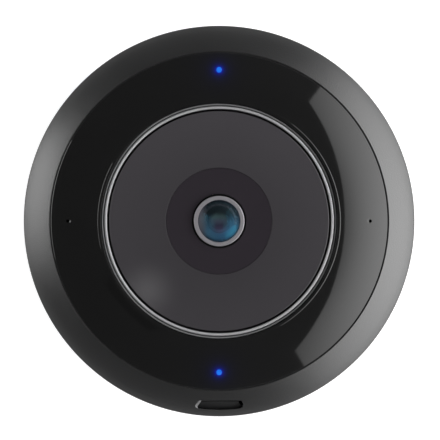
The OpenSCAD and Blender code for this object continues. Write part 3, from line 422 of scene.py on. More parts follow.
def base_finish(colours):
    """Textured paint of the base, a little coarser than the bezel's coating."""
    finish = Finish("base_paint")
    grain = finish.noise(0.55 * MM, 4.0)
    cloud = finish.noise(18 * MM, 2.0)
    finish.surface({
        "Base Color": finish.shaded(grain * 0.4 + cloud * 0.6, colours.base, 0.8, 1.2),
        "Roughness": 0.44 + grain * 0.12,
        "Normal": finish.bump(grain, 0.03 * MM, 0.6)})


def front_ring_finish(colours, lamp_points, painted_glow_radius):
    """Polished black plastic, with a painted glow around the two lamps, given as emission of the ring itself.
    """
    finish = Finish("gloss_black")
    haze = finish.noise(12 * MM, 3.0)
    dust = finish.noise(0.5 * MM, 1.0)
    # Painted glow: the ring itself gives off light around each lamp
    glow = 0.0
    for point in lamp_points:
        glow = glow + (finish.distance(point) * (1.0 / painted_glow_radius)) ** -2.85
    finish.surface({
        "Base Color": finish.shaded(haze, colours.front_ring, 0.9, 1.1),
        "Roughness": 0.035 + haze * 0.02 + dust * 0.01,
        "Emission Color": finish.blend(glow.clamped(), BLACK, colours.glow),
        "Emission Strength": 1.0})


def trim_finish(colours, bead_edge, groove_edge):
    """Bright satin metal. Its colour carries painted shade: dark in the groove beside the larger bead, darker
    on that bead's inner flank and on the smaller bead.
    """
    finish = Finish("trim_bright")
    marks = finish.noise(0.2 * MM, 3.0)
    stain = finish.noise(11 * MM, 2.0)
    out = finish.radius()
    # Painted shade: the groove, the larger bead's inner flank and the smaller bead are darkened in the colour
    groove = out.ramp(bead_edge - 0.1 * MM, bead_edge)
    shaded_flank = out.ramp(bead_edge - 0.85 * MM, bead_edge - 1.05 * MM)
    small = out.ramp(groove_edge, groove_edge + 0.1 * MM)
    bright = finish.shaded(stain * 0.6 + marks * 0.4, colours.trim, 0.92, 1.06)
    bright = finish.blend(shaded_flank, bright, scaled(colours.trim, 0.3))
    painted_shade = finish.blend(small, scaled(colours.trim, 0.10), scaled(colours.trim, 0.60))
    finish.surface({
        "Base Color": finish.blend(groove, bright, painted_shade),
        "Metallic": 0.55,
        "Roughness": 0.58 + marks * 0.06 + stain * 0.04,
        "Normal": finish.bump(marks, 0.003 * MM, 0.3)})


def window_finish(colours):
    """Smoked plastic that lets infrared through. Its colour carries painted light, lighter towards the upper
    left, and painted shade, a little darker around the lens.
    """
    finish = Finish("window_plum")
    grain = finish.noise(0.22 * MM, 2.0)
    cloud = finish.noise(24 * MM, 2.0)
    # Painted light and shade: lighter towards the upper left, darker towards the lens
    lean = finish.axis("Y") * (0.14 / (36 * MM)) - finish.axis("X") * (0.2 / (36 * MM))
    lean = lean + finish.radius() * (0.0156 / MM) - 0.223
    finish.surface({
        "Base Color": finish.shaded(lean + cloud * 0.14 + grain * 0.06, colours.window, 0.8, 1.3),
        "Roughness": 0.08 + grain * 0.02 + cloud * 0.02,
        "Normal": finish.bump(grain, 0.004 * MM, 0.3)})


def shroud_finish(colours):
    """Dark matt plastic around the lens."""
    finish = Finish("shroud_dark")
    grain = finish.noise(0.25 * MM, 2.0)
    cloud = finish.noise(5 * MM, 2.0)
    finish.surface({
        "Base Color": finish.shaded(cloud * 0.6 + grain * 0.4, colours.shroud, 0.92, 1.08),
        "Roughness": 0.42 + grain * 0.08,
        "Specular IOR Level": 0.25,
        "Normal": finish.bump(grain, 0.006 * MM, 0.35)})


def lens_ring_finish(colours):
    """Anodised metal with turning marks in circles around the lens."""
    finish = Finish("lens_metal")
    rings = finish.radius() * (1.0 / (0.07 * MM))
    marks = finish.add(
        "ShaderNodeTexNoise", {"W": rings, "Scale": 1.0, "Detail": 2.0}, noise_dimensions="1D")
    stain = finish.noise(3 * MM, 2.0)
    finish.surface({
        "Base Color": finish.shaded(marks * 0.5 + stain * 0.5, colours.lens_ring, 0.88, 1.1),
        "Metallic": 0.85,
        "Roughness": 0.42 + marks * 0.1,
        "Normal": finish.bump(marks, 0.004 * MM, 0.4)})


def front_glass_finish():
    """Clear front glass with a coating. Painted reflections colour it over its ground rim: dark at the top,
    blue below, grey on the left and one bright patch at the lower right; the middle stays clear."""
    finish = Finish("lens_glass")
    across, up, out = finish.axis("X"), finish.axis("Y"), finish.radius()
    bloom = finish.noise(2.5 * MM, 2.0)
    rim = out.ramp(2.5 * MM, 4.3 * MM) ** 1.2
    edge = out.ramp(6.2 * MM, 7.4 * MM)
    line = abs(out - 5.9 * MM).ramp(0.55 * MM, 0.0)
    # Painted reflections, placed by position on the glass: blue below, grey on the left, a pale ring, a dark
    # outer edge and one bright patch
    low = (0.42 - up * (0.9 / (6.0 * MM))).clamped()
    left = (-across).ramp(4.2 * MM, 6.6 * MM)
    turn = ((across * 0.755 - up * 0.656) / out).ramp(0.84, 1.0)
    painted_glint = turn * abs(out - 6.0 * MM).ramp(1.5 * MM, 0.0)
    blue = finish.blend(
        (-across).ramp(0.0, 5.0 * MM), (0.026, 0.078, 0.145), (0.056, 0.145, 0.228))
    inner = out.ramp(5.2 * MM, 3.6 * MM) * abs(across).ramp(3.38 * MM, 0.78 * MM)
    blue = finish.blend(inner * 0.8, blue, (0.052, 0.056, 0.098))
    painted_reflection = finish.blend(low, (0.010, 0.015, 0.018), blue)
    painted_reflection = finish.blend(line * (1.0 - low) * 0.6, painted_reflection, (0.050, 0.058, 0.072))
    painted_reflection = finish.blend(edge * 0.8, painted_reflection, (0.004, 0.010, 0.016))
    painted_reflection = finish.blend(painted_glint, painted_reflection, (0.018, 0.125, 0.205))
    painted_reflection = finish.blend(left, painted_reflection, (0.110, 0.115, 0.140))
    mirror = finish.add("ShaderNodeFresnel", {"IOR": 1.45})
    finish.surface({
        "Base Color": finish.blend(bloom * 0.12, painted_reflection, BLACK),
        "Roughness": 0.02 + bloom * 0.01,
        "Specular IOR Level": 0.11,
        "Specular Tint": (0.10, 0.70, 1.0),
        "Alpha": (0.05 + rim * 0.75 + mirror * 0.9).clamped()})


def coated_element_finish():
    """Coated inner lens whose colour carries painted reflections: blue below, violet under the middle, green
    above it, dark at the top and pale blue at the sides below the middle.
    """
    finish = Finish("lens_coating_reflection")
    across, up = finish.axis("X"), finish.axis("Y")
    swirl = finish.noise(1.6 * MM, 2.0)
    # Painted reflections, in bands from the bottom to the top of the element
    rise = (up + 5.5 * MM) * (1.0 / (11.0 * MM)) + (swirl - 0.5) * 0.1
    painted_reflection_bands = finish.add("ShaderNodeValToRGB", {"Fac": rise}, stops=(
        (0.0, (0.070, 0.120, 0.220)), (0.14, (0.074, 0.090, 0.177)),
        (0.25, (0.074, 0.058, 0.110)), (0.37, (0.034, 0.030, 0.060)),
        (0.50, (0.070, 0.085, 0.120)), (0.63, (0.065, 0.119, 0.123)),
        (0.76, (0.028, 0.044, 0.047)), (0.88, (0.012, 0.012, 0.017))))
    side = abs(across).ramp(1.0 * MM, 2.8 * MM) * rise.ramp(0.66, 0.41)
    finish.surface({
        "Base Color": finish.blend(side, painted_reflection_bands, (0.064, 0.140, 0.185)),
        "Roughness": 0.3 + swirl * 0.06,
        "Specular IOR Level": 0.15})


def pane_finish():
    """Filter glass with a faint green and red coating."""
    finish = Finish("pane_glass")
    shift = finish.noise(4 * MM, 2.0)
    finish.surface({
        "Base Color": finish.blend(shift, (0.20, 0.42, 0.40), (0.36, 0.30, 0.42)),
        "Roughness": 0.04 + shift * 0.03,
        "Alpha": 0.45 + shift * 0.1})


def board_finish(colours):
    """Circuit board: green solder mask over copper tracks, with small bare pads."""
    finish = Finish("board_green")
    tracks = finish.add("ShaderNodeTexBrick", {
        "Vector": finish.place, "Color1": BLACK, "Color2": WHITE, "Mortar": (0.5, 0.5, 0.5),
        "Scale": 1.0 / (4 * MM), "Mortar Size": 0.06, "Row Height": 0.3})
    track = tracks.output("Fac")
    cells = finish.add("ShaderNodeTexVoronoi", {"Vector": finish.place, "Scale": 1.0 / (2.6 * MM)})
    pads = ((0.16 - cells) * 30.0).clamped()
    mask = finish.shaded(track, colours.board, 0.85, 1.7)
    finish.surface({
        "Base Color": finish.blend(pads, mask, (0.62, 0.47, 0.20)),
        "Metallic": pads * 0.8,
        "Roughness": 0.34 + pads * 0.1 + track * 0.05,
        "Normal": finish.bump(track, 0.03 * MM, 0.5)})


def copper_finish():
    """Wound copper wire: fine turns side by side."""
    finish = Finish("copper_wire")
    turns = finish.add(
        "ShaderNodeTexWave", {"Vector": finish.place, "Scale": 0.32 / (0.2 * MM), "Distortion": 0.4},
        bands_direction="X").output("Fac")
    finish.surface({
        "Base Color": finish.shaded(turns, (0.75, 0.30, 0.10), 0.45, 1.1),
        "Metallic": 0.9,
        "Roughness": 0.3 + turns * 0.08,
        "Normal": finish.bump(turns, 0.05 * MM, 0.8)})


def lamp_finish(name, colours):
    """Clear blue plastic that is lit from behind, a little unevenly."""
    finish = Finish(name)
    cloud = finish.noise(0.6 * MM, 1.0)
    finish.surface({
        "Base Color": scaled(colours.lamp, 0.5),
        "Roughness": 0.15 + cloud * 0.05,
        "Emission Color": finish.shaded(cloud, colours.lamp, 0.8, 1.1),
        "Emission Strength": 1.0})


def make_finishes(context):
    """Makes every finish. Each has the name of its material slot in the record."""
    sizes, colours = context.scene.camera_sizes, context.scene.camera_finish
    height = front_arc(sizes).height(sizes.signal_radius)
    lamp_points = [(0.0, side * sizes.signal_radius, height) for side in (1, -1)]
    rim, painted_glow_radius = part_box("trim_ring")[1].x, 1.2 * MM
    bezel_finish(colours, sizes)
    front_ring_finish(colours, lamp_points, painted_glow_radius)
    trim_finish(colours, rim - sizes.trim_width + 2 * sizes.large_bead, rim - 2 * sizes.small_bead)
    for make in (base_finish, window_finish, shroud_finish, lens_ring_finish, board_finish):
        make(colours)
    for make in (front_glass_finish, coated_element_finish, pane_finish, copper_finish):
        make()
    for name in ("lamp_blue", "pipe_blue"):
        lamp_finish(name, colours)
    moulded_plastic("rubber_black", (0.003, 0.003, 0.003), 0.80, 0.1)
    for name, rgb, roughness in (
            ("inner_black", (0.012, 0.012, 0.013), 0.55),
            ("chip_black", (0.016, 0.016, 0.017), 0.48),
            ("latch_black", (0.010, 0.010, 0.0105), 0.5),
            ("nylon_cream", (0.70, 0.64, 0.50), 0.50),
            ("flex_amber", (0.52, 0.22, 0.035), 0.32),
            ("pad_blue", (0.24, 0.36, 0.54), 0.72),
            ("plunger_grey", (0.46, 0.46, 0.48), 0.40),
            ("emitter_clear", (0.58, 0.54, 0.46), 0.16)):
        moulded_plastic(name, rgb, roughness)
    drawn_metal("plate_steel", colours.plate, 0.36, (1.0, 0.05, 1.0))
    for name, rgb, roughness in (
            ("magnet_grey", (0.34, 0.33, 0.31), 0.38),
            ("brass_gold", (0.83, 0.58, 0.22), 0.24),
            ("screw_steel", (0.50, 0.50, 0.52), 0.30),
            ("can_metal", (0.60, 0.61, 0.64), 0.32),
            ("jack_metal", (0.62, 0.63, 0.65), 0.30)):
        drawn_metal(name, rgb, roughness)


def finish_of(context, slot):
    """The material of a slot. All are made at the first call."""
    if "bezel_satin_finish" not in bpy.data.materials:
        make_finishes(context)
    return bpy.data.materials[f"{slot}_finish"]


class Arc:
    """The upper side of a circle in section, as a height over the radius."""

    def __init__(self, centre_r, centre_z, radius):
        self.centre_r = centre_r
        self.centre_z = centre_z
        self.radius = radius

    @classmethod
    def through(cls, r, z, radius, angle):
        """The arc that passes (r, z) with this slope, falling outwards."""
        return cls(r - radius * math.sin(angle), z - radius * math.cos(angle), radius)

    def height(self, r, inset=0.0):
        """Height at a radius, of the arc or of one that lies inset below it."""
        return self.centre_z + math.sqrt((self.radius - inset) ** 2 - (r - self.centre_r) ** 2)

    def points(self, r0, r1, count, inset=0.0):
        """Points from radius r0 to radius r1."""
        radii = [r0 + (r1 - r0) * i / (count - 1) for i in range(count)]
        return [(r, self.height(r, inset)) for r in radii]


def shoulder_arc(sizes):
    """The bezel's shoulder."""
    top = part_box("front_bezel")[1]
    return Arc.through(top.x - sizes.bezel_width, top.z, sizes.shoulder_radius, sizes.shoulder_slope)


def front_arc(sizes):
    """The front ring's crown. Its lip is the highest point of the ring."""
    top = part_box("front_ring")[1]
    lip = top.x - sizes.front_width + sizes.lip_width
    centre_r = top.x - sizes.front_curve * math.sin(sizes.front_slope)
    crown = top.z - lip_rise(sizes)
    rise = math.sqrt(sizes.front_curve ** 2 - (lip - centre_r) ** 2)
    return Arc(centre_r, crown - rise, sizes.front_curve)


def lip_rise(sizes):
    """Height of the front ring's lip over its crown."""
    return sizes.lip_round * (1 - math.cos(LIP_FALL))


def soft_loop(corners, steps=6):
    """Rounds a closed outline. A corner is (x, y) or (x, y, fillet). Straight sides keep their direction
    up to their fillets by means of points close to the ends."""
    points = []
    count = len(corners)
    for i, corner in enumerate(corners):
        here = Vector(corner[:2])
        if len(corner) < 3:
            points.append((here, False, False))
            continue
        before = (Vector(corners[i - 1][:2]) - here).normalized()
        after = (Vector(corners[(i + 1) % count][:2]) - here).normalized()
        half = before.angle(after) / 2
        reach = corner[2] / math.tan(half)
        centre = here + (before + after).normalized() * (corner[2] / math.sin(half))
        start = here + before * reach - centre
        sweep = start.angle_signed(here + after * reach - centre)
        for k in range(steps + 1):
            turn = Matrix.Rotation(-sweep * k / steps, 2)
            points.append((centre + turn @ start, k == 0, k == steps))
    supported = []
    for i, (here, begins, ends) in enumerate(points):
        if begins:
            back = points[i - 1][0] - here
            supported.append(here + back.normalized() * min(SUPPORT, back.length * 0.3))
        supported.append(here)
        if ends:
            onward = points[(i + 1) % len(points)][0] - here
            supported.append(here + onward.normalized() * min(SUPPORT, onward.length * 0.3))
    return supported


def turned_piece(graph, given):
    """A closed section, which lies in the XZ plane, turned around the Z axis."""
    place = graph.add("ShaderNodeSeparateXYZ", {"Vector": graph.add("GeometryNodeInputPosition")})
    flat = graph.add("ShaderNodeCombineXYZ", {
        "X": place.output("X") - given("Rail Radius"), "Y": -place.output("Z"), "Z": 0.0})
    section = graph.add("GeometryNodeMeshToCurve", {"Mesh": given("Section")})
    section = graph.add("GeometryNodeSetPosition", {"Geometry": section, "Position": flat})
    rail = graph.add(
        "GeometryNodeCurvePrimitiveCircle",
        {"Resolution": given("Segments"), "Radius": given("Rail Radius")}, mode="RADIUS")
    rail = graph.add("GeometryNodeSetCurveNormal", {"Curve": rail}, mode="Z_UP")
    return graph.add("GeometryNodeCurveToMesh", {"Curve": rail, "Profile Curve": section})


def pieces_on_circle(graph, given):
    """Copies of a piece on a circle around the Z axis, each turned to face outwards."""
    step = graph.add("GeometryNodeInputIndex") / given("Count")
    angle = given("First Angle") + step * (2 * math.pi)
    spot = graph.add("ShaderNodeCombineXYZ", {
        "X": angle.maths("COSINE", angle) * given("Radius"),
        "Y": angle.maths("SINE", angle) * given("Radius"), "Z": 0.0})
    points = graph.add("GeometryNodePoints", {"Count": given("Count"), "Position": spot})
    turn = graph.add("FunctionNodeAxisAngleToRotation", {"Axis": (0.0, 0.0, 1.0), "Angle": angle})
    return graph.add(
        "GeometryNodeInstanceOnPoints", {"Points": points, "Instance": given("Piece"), "Rotation": turn})


def pieces_in_row(graph, given):
    """Copies of a piece in a row along X, centred on its own place."""
    middle = (given("Count") - 1.0) * 0.5
    spot = graph.add("ShaderNodeCombineXYZ", {
        "X": (graph.add("GeometryNodeInputIndex") - middle) * given("Pitch"), "Y": 0.0, "Z": 0.0})
    points = graph.add("GeometryNodePoints", {"Count": given("Count"), "Position": spot})
    return graph.add("GeometryNodeInstanceOnPoints", {"Points": points, "Instance": given("Piece")})


def wire_along_path(graph, given):
    """A round wire along a path of edges."""
    path = graph.add("GeometryNodeMeshToCurve", {"Mesh": given("Path")})
    wire = graph.add(
        "GeometryNodeCurvePrimitiveCircle", {"Resolution": 10, "Radius": given("Wire Radius")}, mode="RADIUS")
    return graph.add("GeometryNodeCurveToMesh", {"Curve": path, "Profile Curve": wire, "Fill Caps": True})


# Named inputs of each geometry tree, the mesh that it works on first
TREE_INPUTS = {
    turned_piece: {"Section": "Geometry", "Rail Radius": "Float", "Segments": "Int"},
    pieces_on_circle: {"Piece": "Geometry", "Count": "Int", "Radius": "Float", "First Angle": "Float"},
    pieces_in_row: {"Piece": "Geometry", "Count": "Int", "Pitch": "Float"},
    wire_along_path: {"Path": "Geometry", "Wire Radius": "Float"},
}


def geometry_tree(fill):
    """The geometry tree that fill makes, ended with real instances, smooth faces and the finish. It is made
    at the first call."""
    name = fill.__name__.replace("_", " ")
    if name in bpy.data.node_groups:
        return bpy.data.node_groups[name]
    tree = bpy.data.node_groups.new(name, "GeometryNodeTree")
    for label, kind in (*TREE_INPUTS[fill].items(), ("Finish", "Material")):
        tree.interface.new_socket(label, in_out="INPUT", socket_type=f"NodeSocket{kind}")
    tree.interface.new_socket("Mesh", in_out="OUTPUT", socket_type="NodeSocketGeometry")
    graph = Graph(tree)
    given = graph.add("NodeGroupInput").output
    geometry = graph.add("GeometryNodeRealizeInstances", {"Geometry": fill(graph, given)})
    geometry = graph.add("GeometryNodeSetShadeSmooth", {"Geometry": geometry})
    geometry = graph.add("GeometryNodeSetMaterial", {"Geometry": geometry, "Material": given("Finish")})
    graph.add("NodeGroupOutput", {"Mesh": geometry})
    return tree


def linked_object(name, mesh):
    """An object at the origin in the scene's collection."""
    made = bpy.data.objects.new(name, mesh)
    bpy.context.scene.collection.objects.link(made)
    return made


def evaluated_mesh(source):
    """The mesh of an object with its modifiers applied. The object goes."""
    bpy.context.view_layer.update()
    graph = bpy.context.evaluated_depsgraph_get()
    mesh = bpy.data.meshes.new_from_object(source.evaluated_get(graph))
    bpy.data.objects.remove(source)
    return mesh


def run_tree(mesh, fill, inputs):
    """A plain mesh from a geometry tree that works on a mesh."""
    tree = geometry_tree(fill)
    source = linked_object(tree.name, mesh)
    modifier = source.modifiers.new(tree.name, "NODES")
    modifier.node_group = tree
    for item in tree.interface.items_tree:
        if item.name in inputs:
            modifier[item.identifier] = inputs[item.name]
    return evaluated_mesh(source)


def closed_mesh(mesh):
    """Merges doubles, turns the faces outwards and smooths all but the sharp edges."""
    shape = bmesh.new()
    shape.from_mesh(mesh)
    bmesh.ops.remove_doubles(shape, verts=shape.verts, dist=MERGE)
    bmesh.ops.dissolve_degenerate(shape, edges=shape.edges, dist=MERGE)
    bmesh.ops.recalc_face_normals(shape, faces=shape.faces)
    for face in shape.faces:
        face.smooth = True
    shape.to_mesh(mesh)
    shape.free()
    mesh.set_sharp_from_angle(angle=CREASE)
    return mesh


def turned_mesh(context, loop, material):
    """A closed section, as points (r, z), turned around the Z axis."""
    section = bpy.data.meshes.new("section")
    count = len(loop)
    section.from_pydata(
        [(r, 0.0, z) for r, z in loop], [(i, (i + 1) % count) for i in range(count)], [])
    mesh = run_tree(section, turned_piece, {
        "Rail Radius": max(r for r, z in loop), "Segments": context.scene.camera_sizes.segments,
        "Finish": material})
    return closed_mesh(mesh)


def cut_mesh(mesh, cutter):
    """A mesh with another one cut out of it."""
    source, tool = linked_object("cut", mesh), linked_object("cutter", cutter)
    modifier = source.modifiers.new("cut", "BOOLEAN")
    modifier.operation, modifier.solver, modifier.object = "DIFFERENCE", "EXACT", tool
    result = evaluated_mesh(source)
    bpy.data.objects.remove(tool)
    return closed_mesh(result)


def softened_copy(node, material, edge):
    """A copy of a frame node, merged and with its sharp edges rounded."""
    mesh = frame["nodes"][node].data.copy()
    shape = bmesh.new()
    shape.from_mesh(mesh)
    bmesh.ops.remove_doubles(shape, verts=shape.verts, dist=MERGE)
    bmesh.ops.dissolve_limit(shape, angle_limit=FLAT, verts=shape.verts, edges=shape.edges)
    for face in shape.faces:
        face.smooth = True
    shape.to_mesh(mesh)
    shape.free()
    source = linked_object("softened", mesh)
    bevel = source.modifiers.new("edges", "BEVEL")
    bevel.width, bevel.segments, bevel.limit_method, bevel.harden_normals = edge, 2, "ANGLE", True
    bevel.angle_limit = ROUNDED_CREASE
    result = evaluated_mesh(source)
    round_normals(result)
    result.materials.clear()
    result.materials.append(material)
    return result


def round_normals(mesh):
    """Gives the facets of walls that run around the Z axis the normals of a true round wall."""
    normals = [corner.vector.copy() for corner in mesh.corner_normals]
    for face in mesh.polygons:
        level = face.normal.xy.length
        if level < WALL_TILT:
            continue
        spots = [mesh.vertices[index].co.xy for index in face.vertices]
        sides = [spot.dot(face.normal.xy) / max(spot.length * level, MERGE) for spot in spots]
        if min(abs(side) for side in sides) < ROUND_FIT:
            continue
        for corner, spot, side in zip(face.loop_indices, spots, sides):
            out = spot.normalized() * math.copysign(level, side)
            normals[corner] = Vector((out.x, out.y, face.normal.z))
    mesh.normals_split_custom_set(normals)


def ring_loop(radii, z):
    """A closed loop at one height, from its radii at equal angles."""
    angles = [2 * math.pi * i / len(radii) for i in range(len(radii))]
    return [(r * math.cos(a), r * math.sin(a), z) for r, a in zip(radii, angles)]


def lofted_mesh(loops):
    """A closed mesh from loops of equal count, one above the other."""
    count = len(loops[0])
    shape = bmesh.new()
    rows = [[shape.verts.new(point) for point in loop] for loop in loops]
    for low, high in zip(rows, rows[1:]):
        for i in range(count):
            k = (i + 1) % count
            shape.faces.new((low[i], low[k], high[k], high[i]))
    shape.faces.new(list(reversed(rows[0])))
    shape.faces.new(rows[-1])
    mesh = bpy.data.meshes.new("loft")
    shape.to_mesh(mesh)
    shape.free()
    return closed_mesh(mesh)


def add_piece(name, mesh, body, node):
    """A finished piece that rides on a body in place of a frame node."""
    made = linked_object(name, mesh)
    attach(made, body)
    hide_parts(node)
    return made


def add_turned(context, name, loop, slot, node, finish=None):
    """A piece of the head, turned from its section. Its finish is its slot's, unless another is named."""
    mesh = turned_mesh(context, loop, finish_of(context, finish or slot))
    return add_piece(name, mesh, "head", node)


def add_softened(context, name, body, slot, node, edge):
    """A piece that is a frame node with rounded edges."""
    mesh = softened_copy(node, finish_of(context, slot), edge)
    return add_piece(name, mesh, body, node)


def slot_loop(sizes, grow, spread, flare, corner):
    """Outline of the release slot: a straight inner edge, slanted ends and an arc outside. The edges grow
    by one distance, the ends spread by another, and the outer corners have a fillet."""
    inner, outer = sizes.slot_inner - grow, sizes.slot_outer + grow
    lean = math.tan(flare)
    at_axis = sizes.slot_width / 2 + spread / math.cos(flare) - sizes.slot_inner * lean
    half_inner = at_axis + inner * lean
    a, b, c = 1 + lean ** 2, at_axis * lean, at_axis ** 2 - outer ** 2
    reach = (-b + math.sqrt(b * b - a * c)) / a
    half_outer = at_axis + reach * lean
    start = math.asin(half_outer / outer)
    arc = [(outer * math.sin(t * start), -outer * math.cos(t * start)) for t in (0.6, 0.3, 0.0, -0.3, -0.6)]
    inside = 0.3 * MM
    corners = [(-half_inner, -inner, inside), (half_inner, -inner, inside), (half_outer, -reach, corner)]
    return soft_loop(corners + arc + [(-half_outer, -reach, corner)], 5)


def slot_cutter(sizes):
    """The release slot as a solid. Its left end is bevelled down from the shoulder to a thin edge, and
    widens again under it, where the latch is. Its right end goes straight down."""
    shoulder = shoulder_arc(sizes)

    def sunk(loop, depth):
        return [Vector((*point, shoulder.height(point.length) - depth)) for point in loop]

    def beside(left, right):
        return [a if a.x < 0.0 else b for a, b in zip(left, right)]

    ease, outward = sizes.slot_ease, sizes.slot_bevel_out
    inward = sizes.slot_bevel_width - outward
    edge = beside(
        slot_loop(sizes, ease, outward, sizes.slot_brow, sizes.slot_left_corner),
        slot_loop(sizes, ease, sizes.slot_right_spread, sizes.slot_flare, sizes.slot_right_corner))
    outline = beside(slot_loop(sizes, 0.0, 0.0, sizes.slot_flare, sizes.slot_corner), edge)
    foot = beside(slot_loop(sizes, 0.0, -inward, sizes.slot_foot, sizes.slot_corner), edge)
    depth, lead, bottom = sizes.slot_bevel_depth, 0.35 * MM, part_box("front_bezel")[0].z + 1.0 * MM
    low_foot, brow = sunk(foot, depth), sunk(edge, 0.0)
    overshoot = 2.5
    return lofted_mesh([
        [(point.x, point.y, bottom) for point in outline], sunk(outline, depth + lead), low_foot,
        [low + (high - low) * overshoot for low, high in zip(low_foot, brow)]])


class CAMERA_OT_bezel(Operator):
    """Make the satin bezel with its release slot"""

    bl_idname = "camera_part.bezel"
    bl_label = "Bezel"

    def execute(self, context):
        sizes = context.scene.camera_sizes
        low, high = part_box("front_bezel")
        rim, inner = high.x, high.x - sizes.bezel_width
        shoulder = shoulder_arc(sizes)
        top = shoulder.points(inner, rim, 15)
        under = shoulder.points(rim - sizes.wall, inner + sizes.wall, 7, sizes.wall)
        ring_low, ring_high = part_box("front_ring")
        seat, rib = ring_low.z, ring_high.x + 0.08 * MM
        step, ledge = high.z - sizes.gap_depth, inner - sizes.ledge_width
        loop = soft_loop(
            [(*top[0], sizes.bezel_edge)] + top[1:-1]
            + [(*top[-1], sizes.rim_fillet), (rim, low.z, sizes.edge_fillet), (rim - sizes.wall, low.z)]
            + under + [(inner + sizes.wall, seat - sizes.ledge_wall), (ledge, seat - sizes.ledge_wall)]
            + [(ledge, seat), (rib, seat), (rib, step), (inner, step)])
        mesh = turned_mesh(context, loop, finish_of(context, "bezel_satin"))
        mesh = cut_mesh(mesh, slot_cutter(sizes))
        add_piece("bezel_shell", mesh, "head", "front_bezel")
        return {"FINISHED"}


class CAMERA_OT_front_ring(Operator):
    """Make the glossy front ring with its lamp and microphone holes"""

    bl_idname = "camera_part.front_ring"
    bl_label = "Front ring"

    def execute(self, context):
        sizes = context.scene.camera_sizes
        low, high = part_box("front_ring")
        outer, inner = high.x, high.x - sizes.front_width
        crown = front_arc(sizes)
        lip = inner + sizes.lip_width
        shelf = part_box("trim_ring")[0].z
        shelf_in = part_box("ir_window")[1].x - sizes.shelf_lap
        neck, foot = inner + 1.9 * MM, outer - 3.2 * MM
        lip_edge, lip_gap, steps = 0.08 * MM, 0.02 * MM, 6
        brow = [
            (lip - sizes.lip_round * (math.sin(LIP_FALL) - math.sin(turn)),
             high.z - sizes.lip_round * (1 - math.cos(turn)))
            for turn in (LIP_FALL * k / steps for k in range(steps + 1))]
        top = crown.points(lip + lip_gap, outer, 30)
        loop = soft_loop(
            [(inner, shelf), (inner, high.z, lip_edge)] + brow + top[:-1]
            + [(*top[-1], sizes.front_edge), (outer, low.z), (foot, low.z)]
            + crown.points(foot, neck, 10, sizes.front_wall)
            + [(neck, shelf - sizes.shelf_wall), (shelf_in, shelf - sizes.shelf_wall), (shelf_in, shelf)])
        mesh = turned_mesh(context, loop, finish_of(context, "gloss_black"))
        for cutter in self.hole_cutters(sizes, crown):
            mesh = cut_mesh(mesh, cutter)
        add_piece("front_panel", mesh, "head", "front_ring")
        return {"FINISHED"}

    def hole_cutters(self, sizes, crown):
        """Solids of the two countersunk microphone holes and of the two lamp holes."""
        hole, lamp = sizes.microphone_diameter / 2, sizes.lamp_diameter / 2
        deep, reach, facets = 8 * MM, 1.0 * MM, 32
        level, fall = crown.height(sizes.signal_radius), math.tan(sizes.sink_slope)
        sink = crown.height(sizes.signal_radius - hole - sizes.sink_width) - sizes.sink_width * fall
        steps = (
            ((hole, level - deep), (hole, sink), (hole + reach / fall, sink + reach)),
            ((lamp, level - deep), (lamp, level + deep)))
        for turn, section in enumerate(steps):
            rod = lofted_mesh([ring_loop([radius] * facets, z) for radius, z in section])
            yield run_tree(rod, pieces_on_circle, {
                "Count": 2, "Radius": sizes.signal_radius, "First Angle": turn * math.pi / 2})


class CAMERA_OT_trim(Operator):
    """Make the bright trim ring with its two beads"""

    bl_idname = "camera_part.trim"
    bl_label = "Trim ring"

    def execute(self, context):
        sizes = context.scene.camera_sizes
        low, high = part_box("trim_ring")
        outer, inner = high.x, high.x - sizes.trim_width
        middle = high.z - sizes.large_bead
        groove = middle - sizes.bead_groove
        beads = (
            (inner + sizes.large_bead, middle, sizes.large_bead),
            (outer - sizes.small_bead, middle - sizes.bead_step, sizes.small_bead))
        steps = 14
        arc = [math.pi * (1 - k / steps) for k in range(steps + 1)]
        loop = [(inner, low.z)]
        for r, z, bead in beads:
            loop += [(r + bead * math.cos(angle), z + bead * math.sin(angle)) for angle in arc]
            if bead == sizes.large_bead:
                loop += [(r + bead, groove), (outer - 2 * sizes.small_bead, groove)]
        loop.append((outer, low.z))
        add_turned(context, "trim_beads", loop, "trim_bright", "trim_ring")
        return {"FINISHED"}


class CAMERA_OT_window(Operator):
    """Make the smoked window and the dark shroud inside it"""

    bl_idname = "camera_part.window"
    bl_label = "Window and shroud"

    def execute(self, context):
        sizes = context.scene.camera_sizes
        fillet, crisp = sizes.edge_fillet, sizes.crisp_edge
        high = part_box("ir_window")[1]
        inner, outer = sizes.window_inner, high.x
        dome = Arc(0.0, high.z - math.sqrt(sizes.window_dome ** 2 - inner ** 2), sizes.window_dome)
        top = dome.points(inner, outer, 24)
        under = dome.points(outer, inner, 8, sizes.window_wall)
        loop = soft_loop([(*top[0], crisp)] + top[1:-1] + [(*top[-1], fillet)] + under)
        add_turned(context, "smoked_window", loop, "window_plum", "ir_window")

        low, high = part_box("lens_shroud")
        dish = 0.1 * MM
        loop = soft_loop([
            (sizes.shroud_hole, low.z), (sizes.shroud_hole, high.z - dish, crisp), (high.x, high.z, crisp),
            (high.x, low.z)])
        add_turned(context, "shroud_disc", loop, "shroud_dark", "lens_shroud")
        return {"FINISHED"}


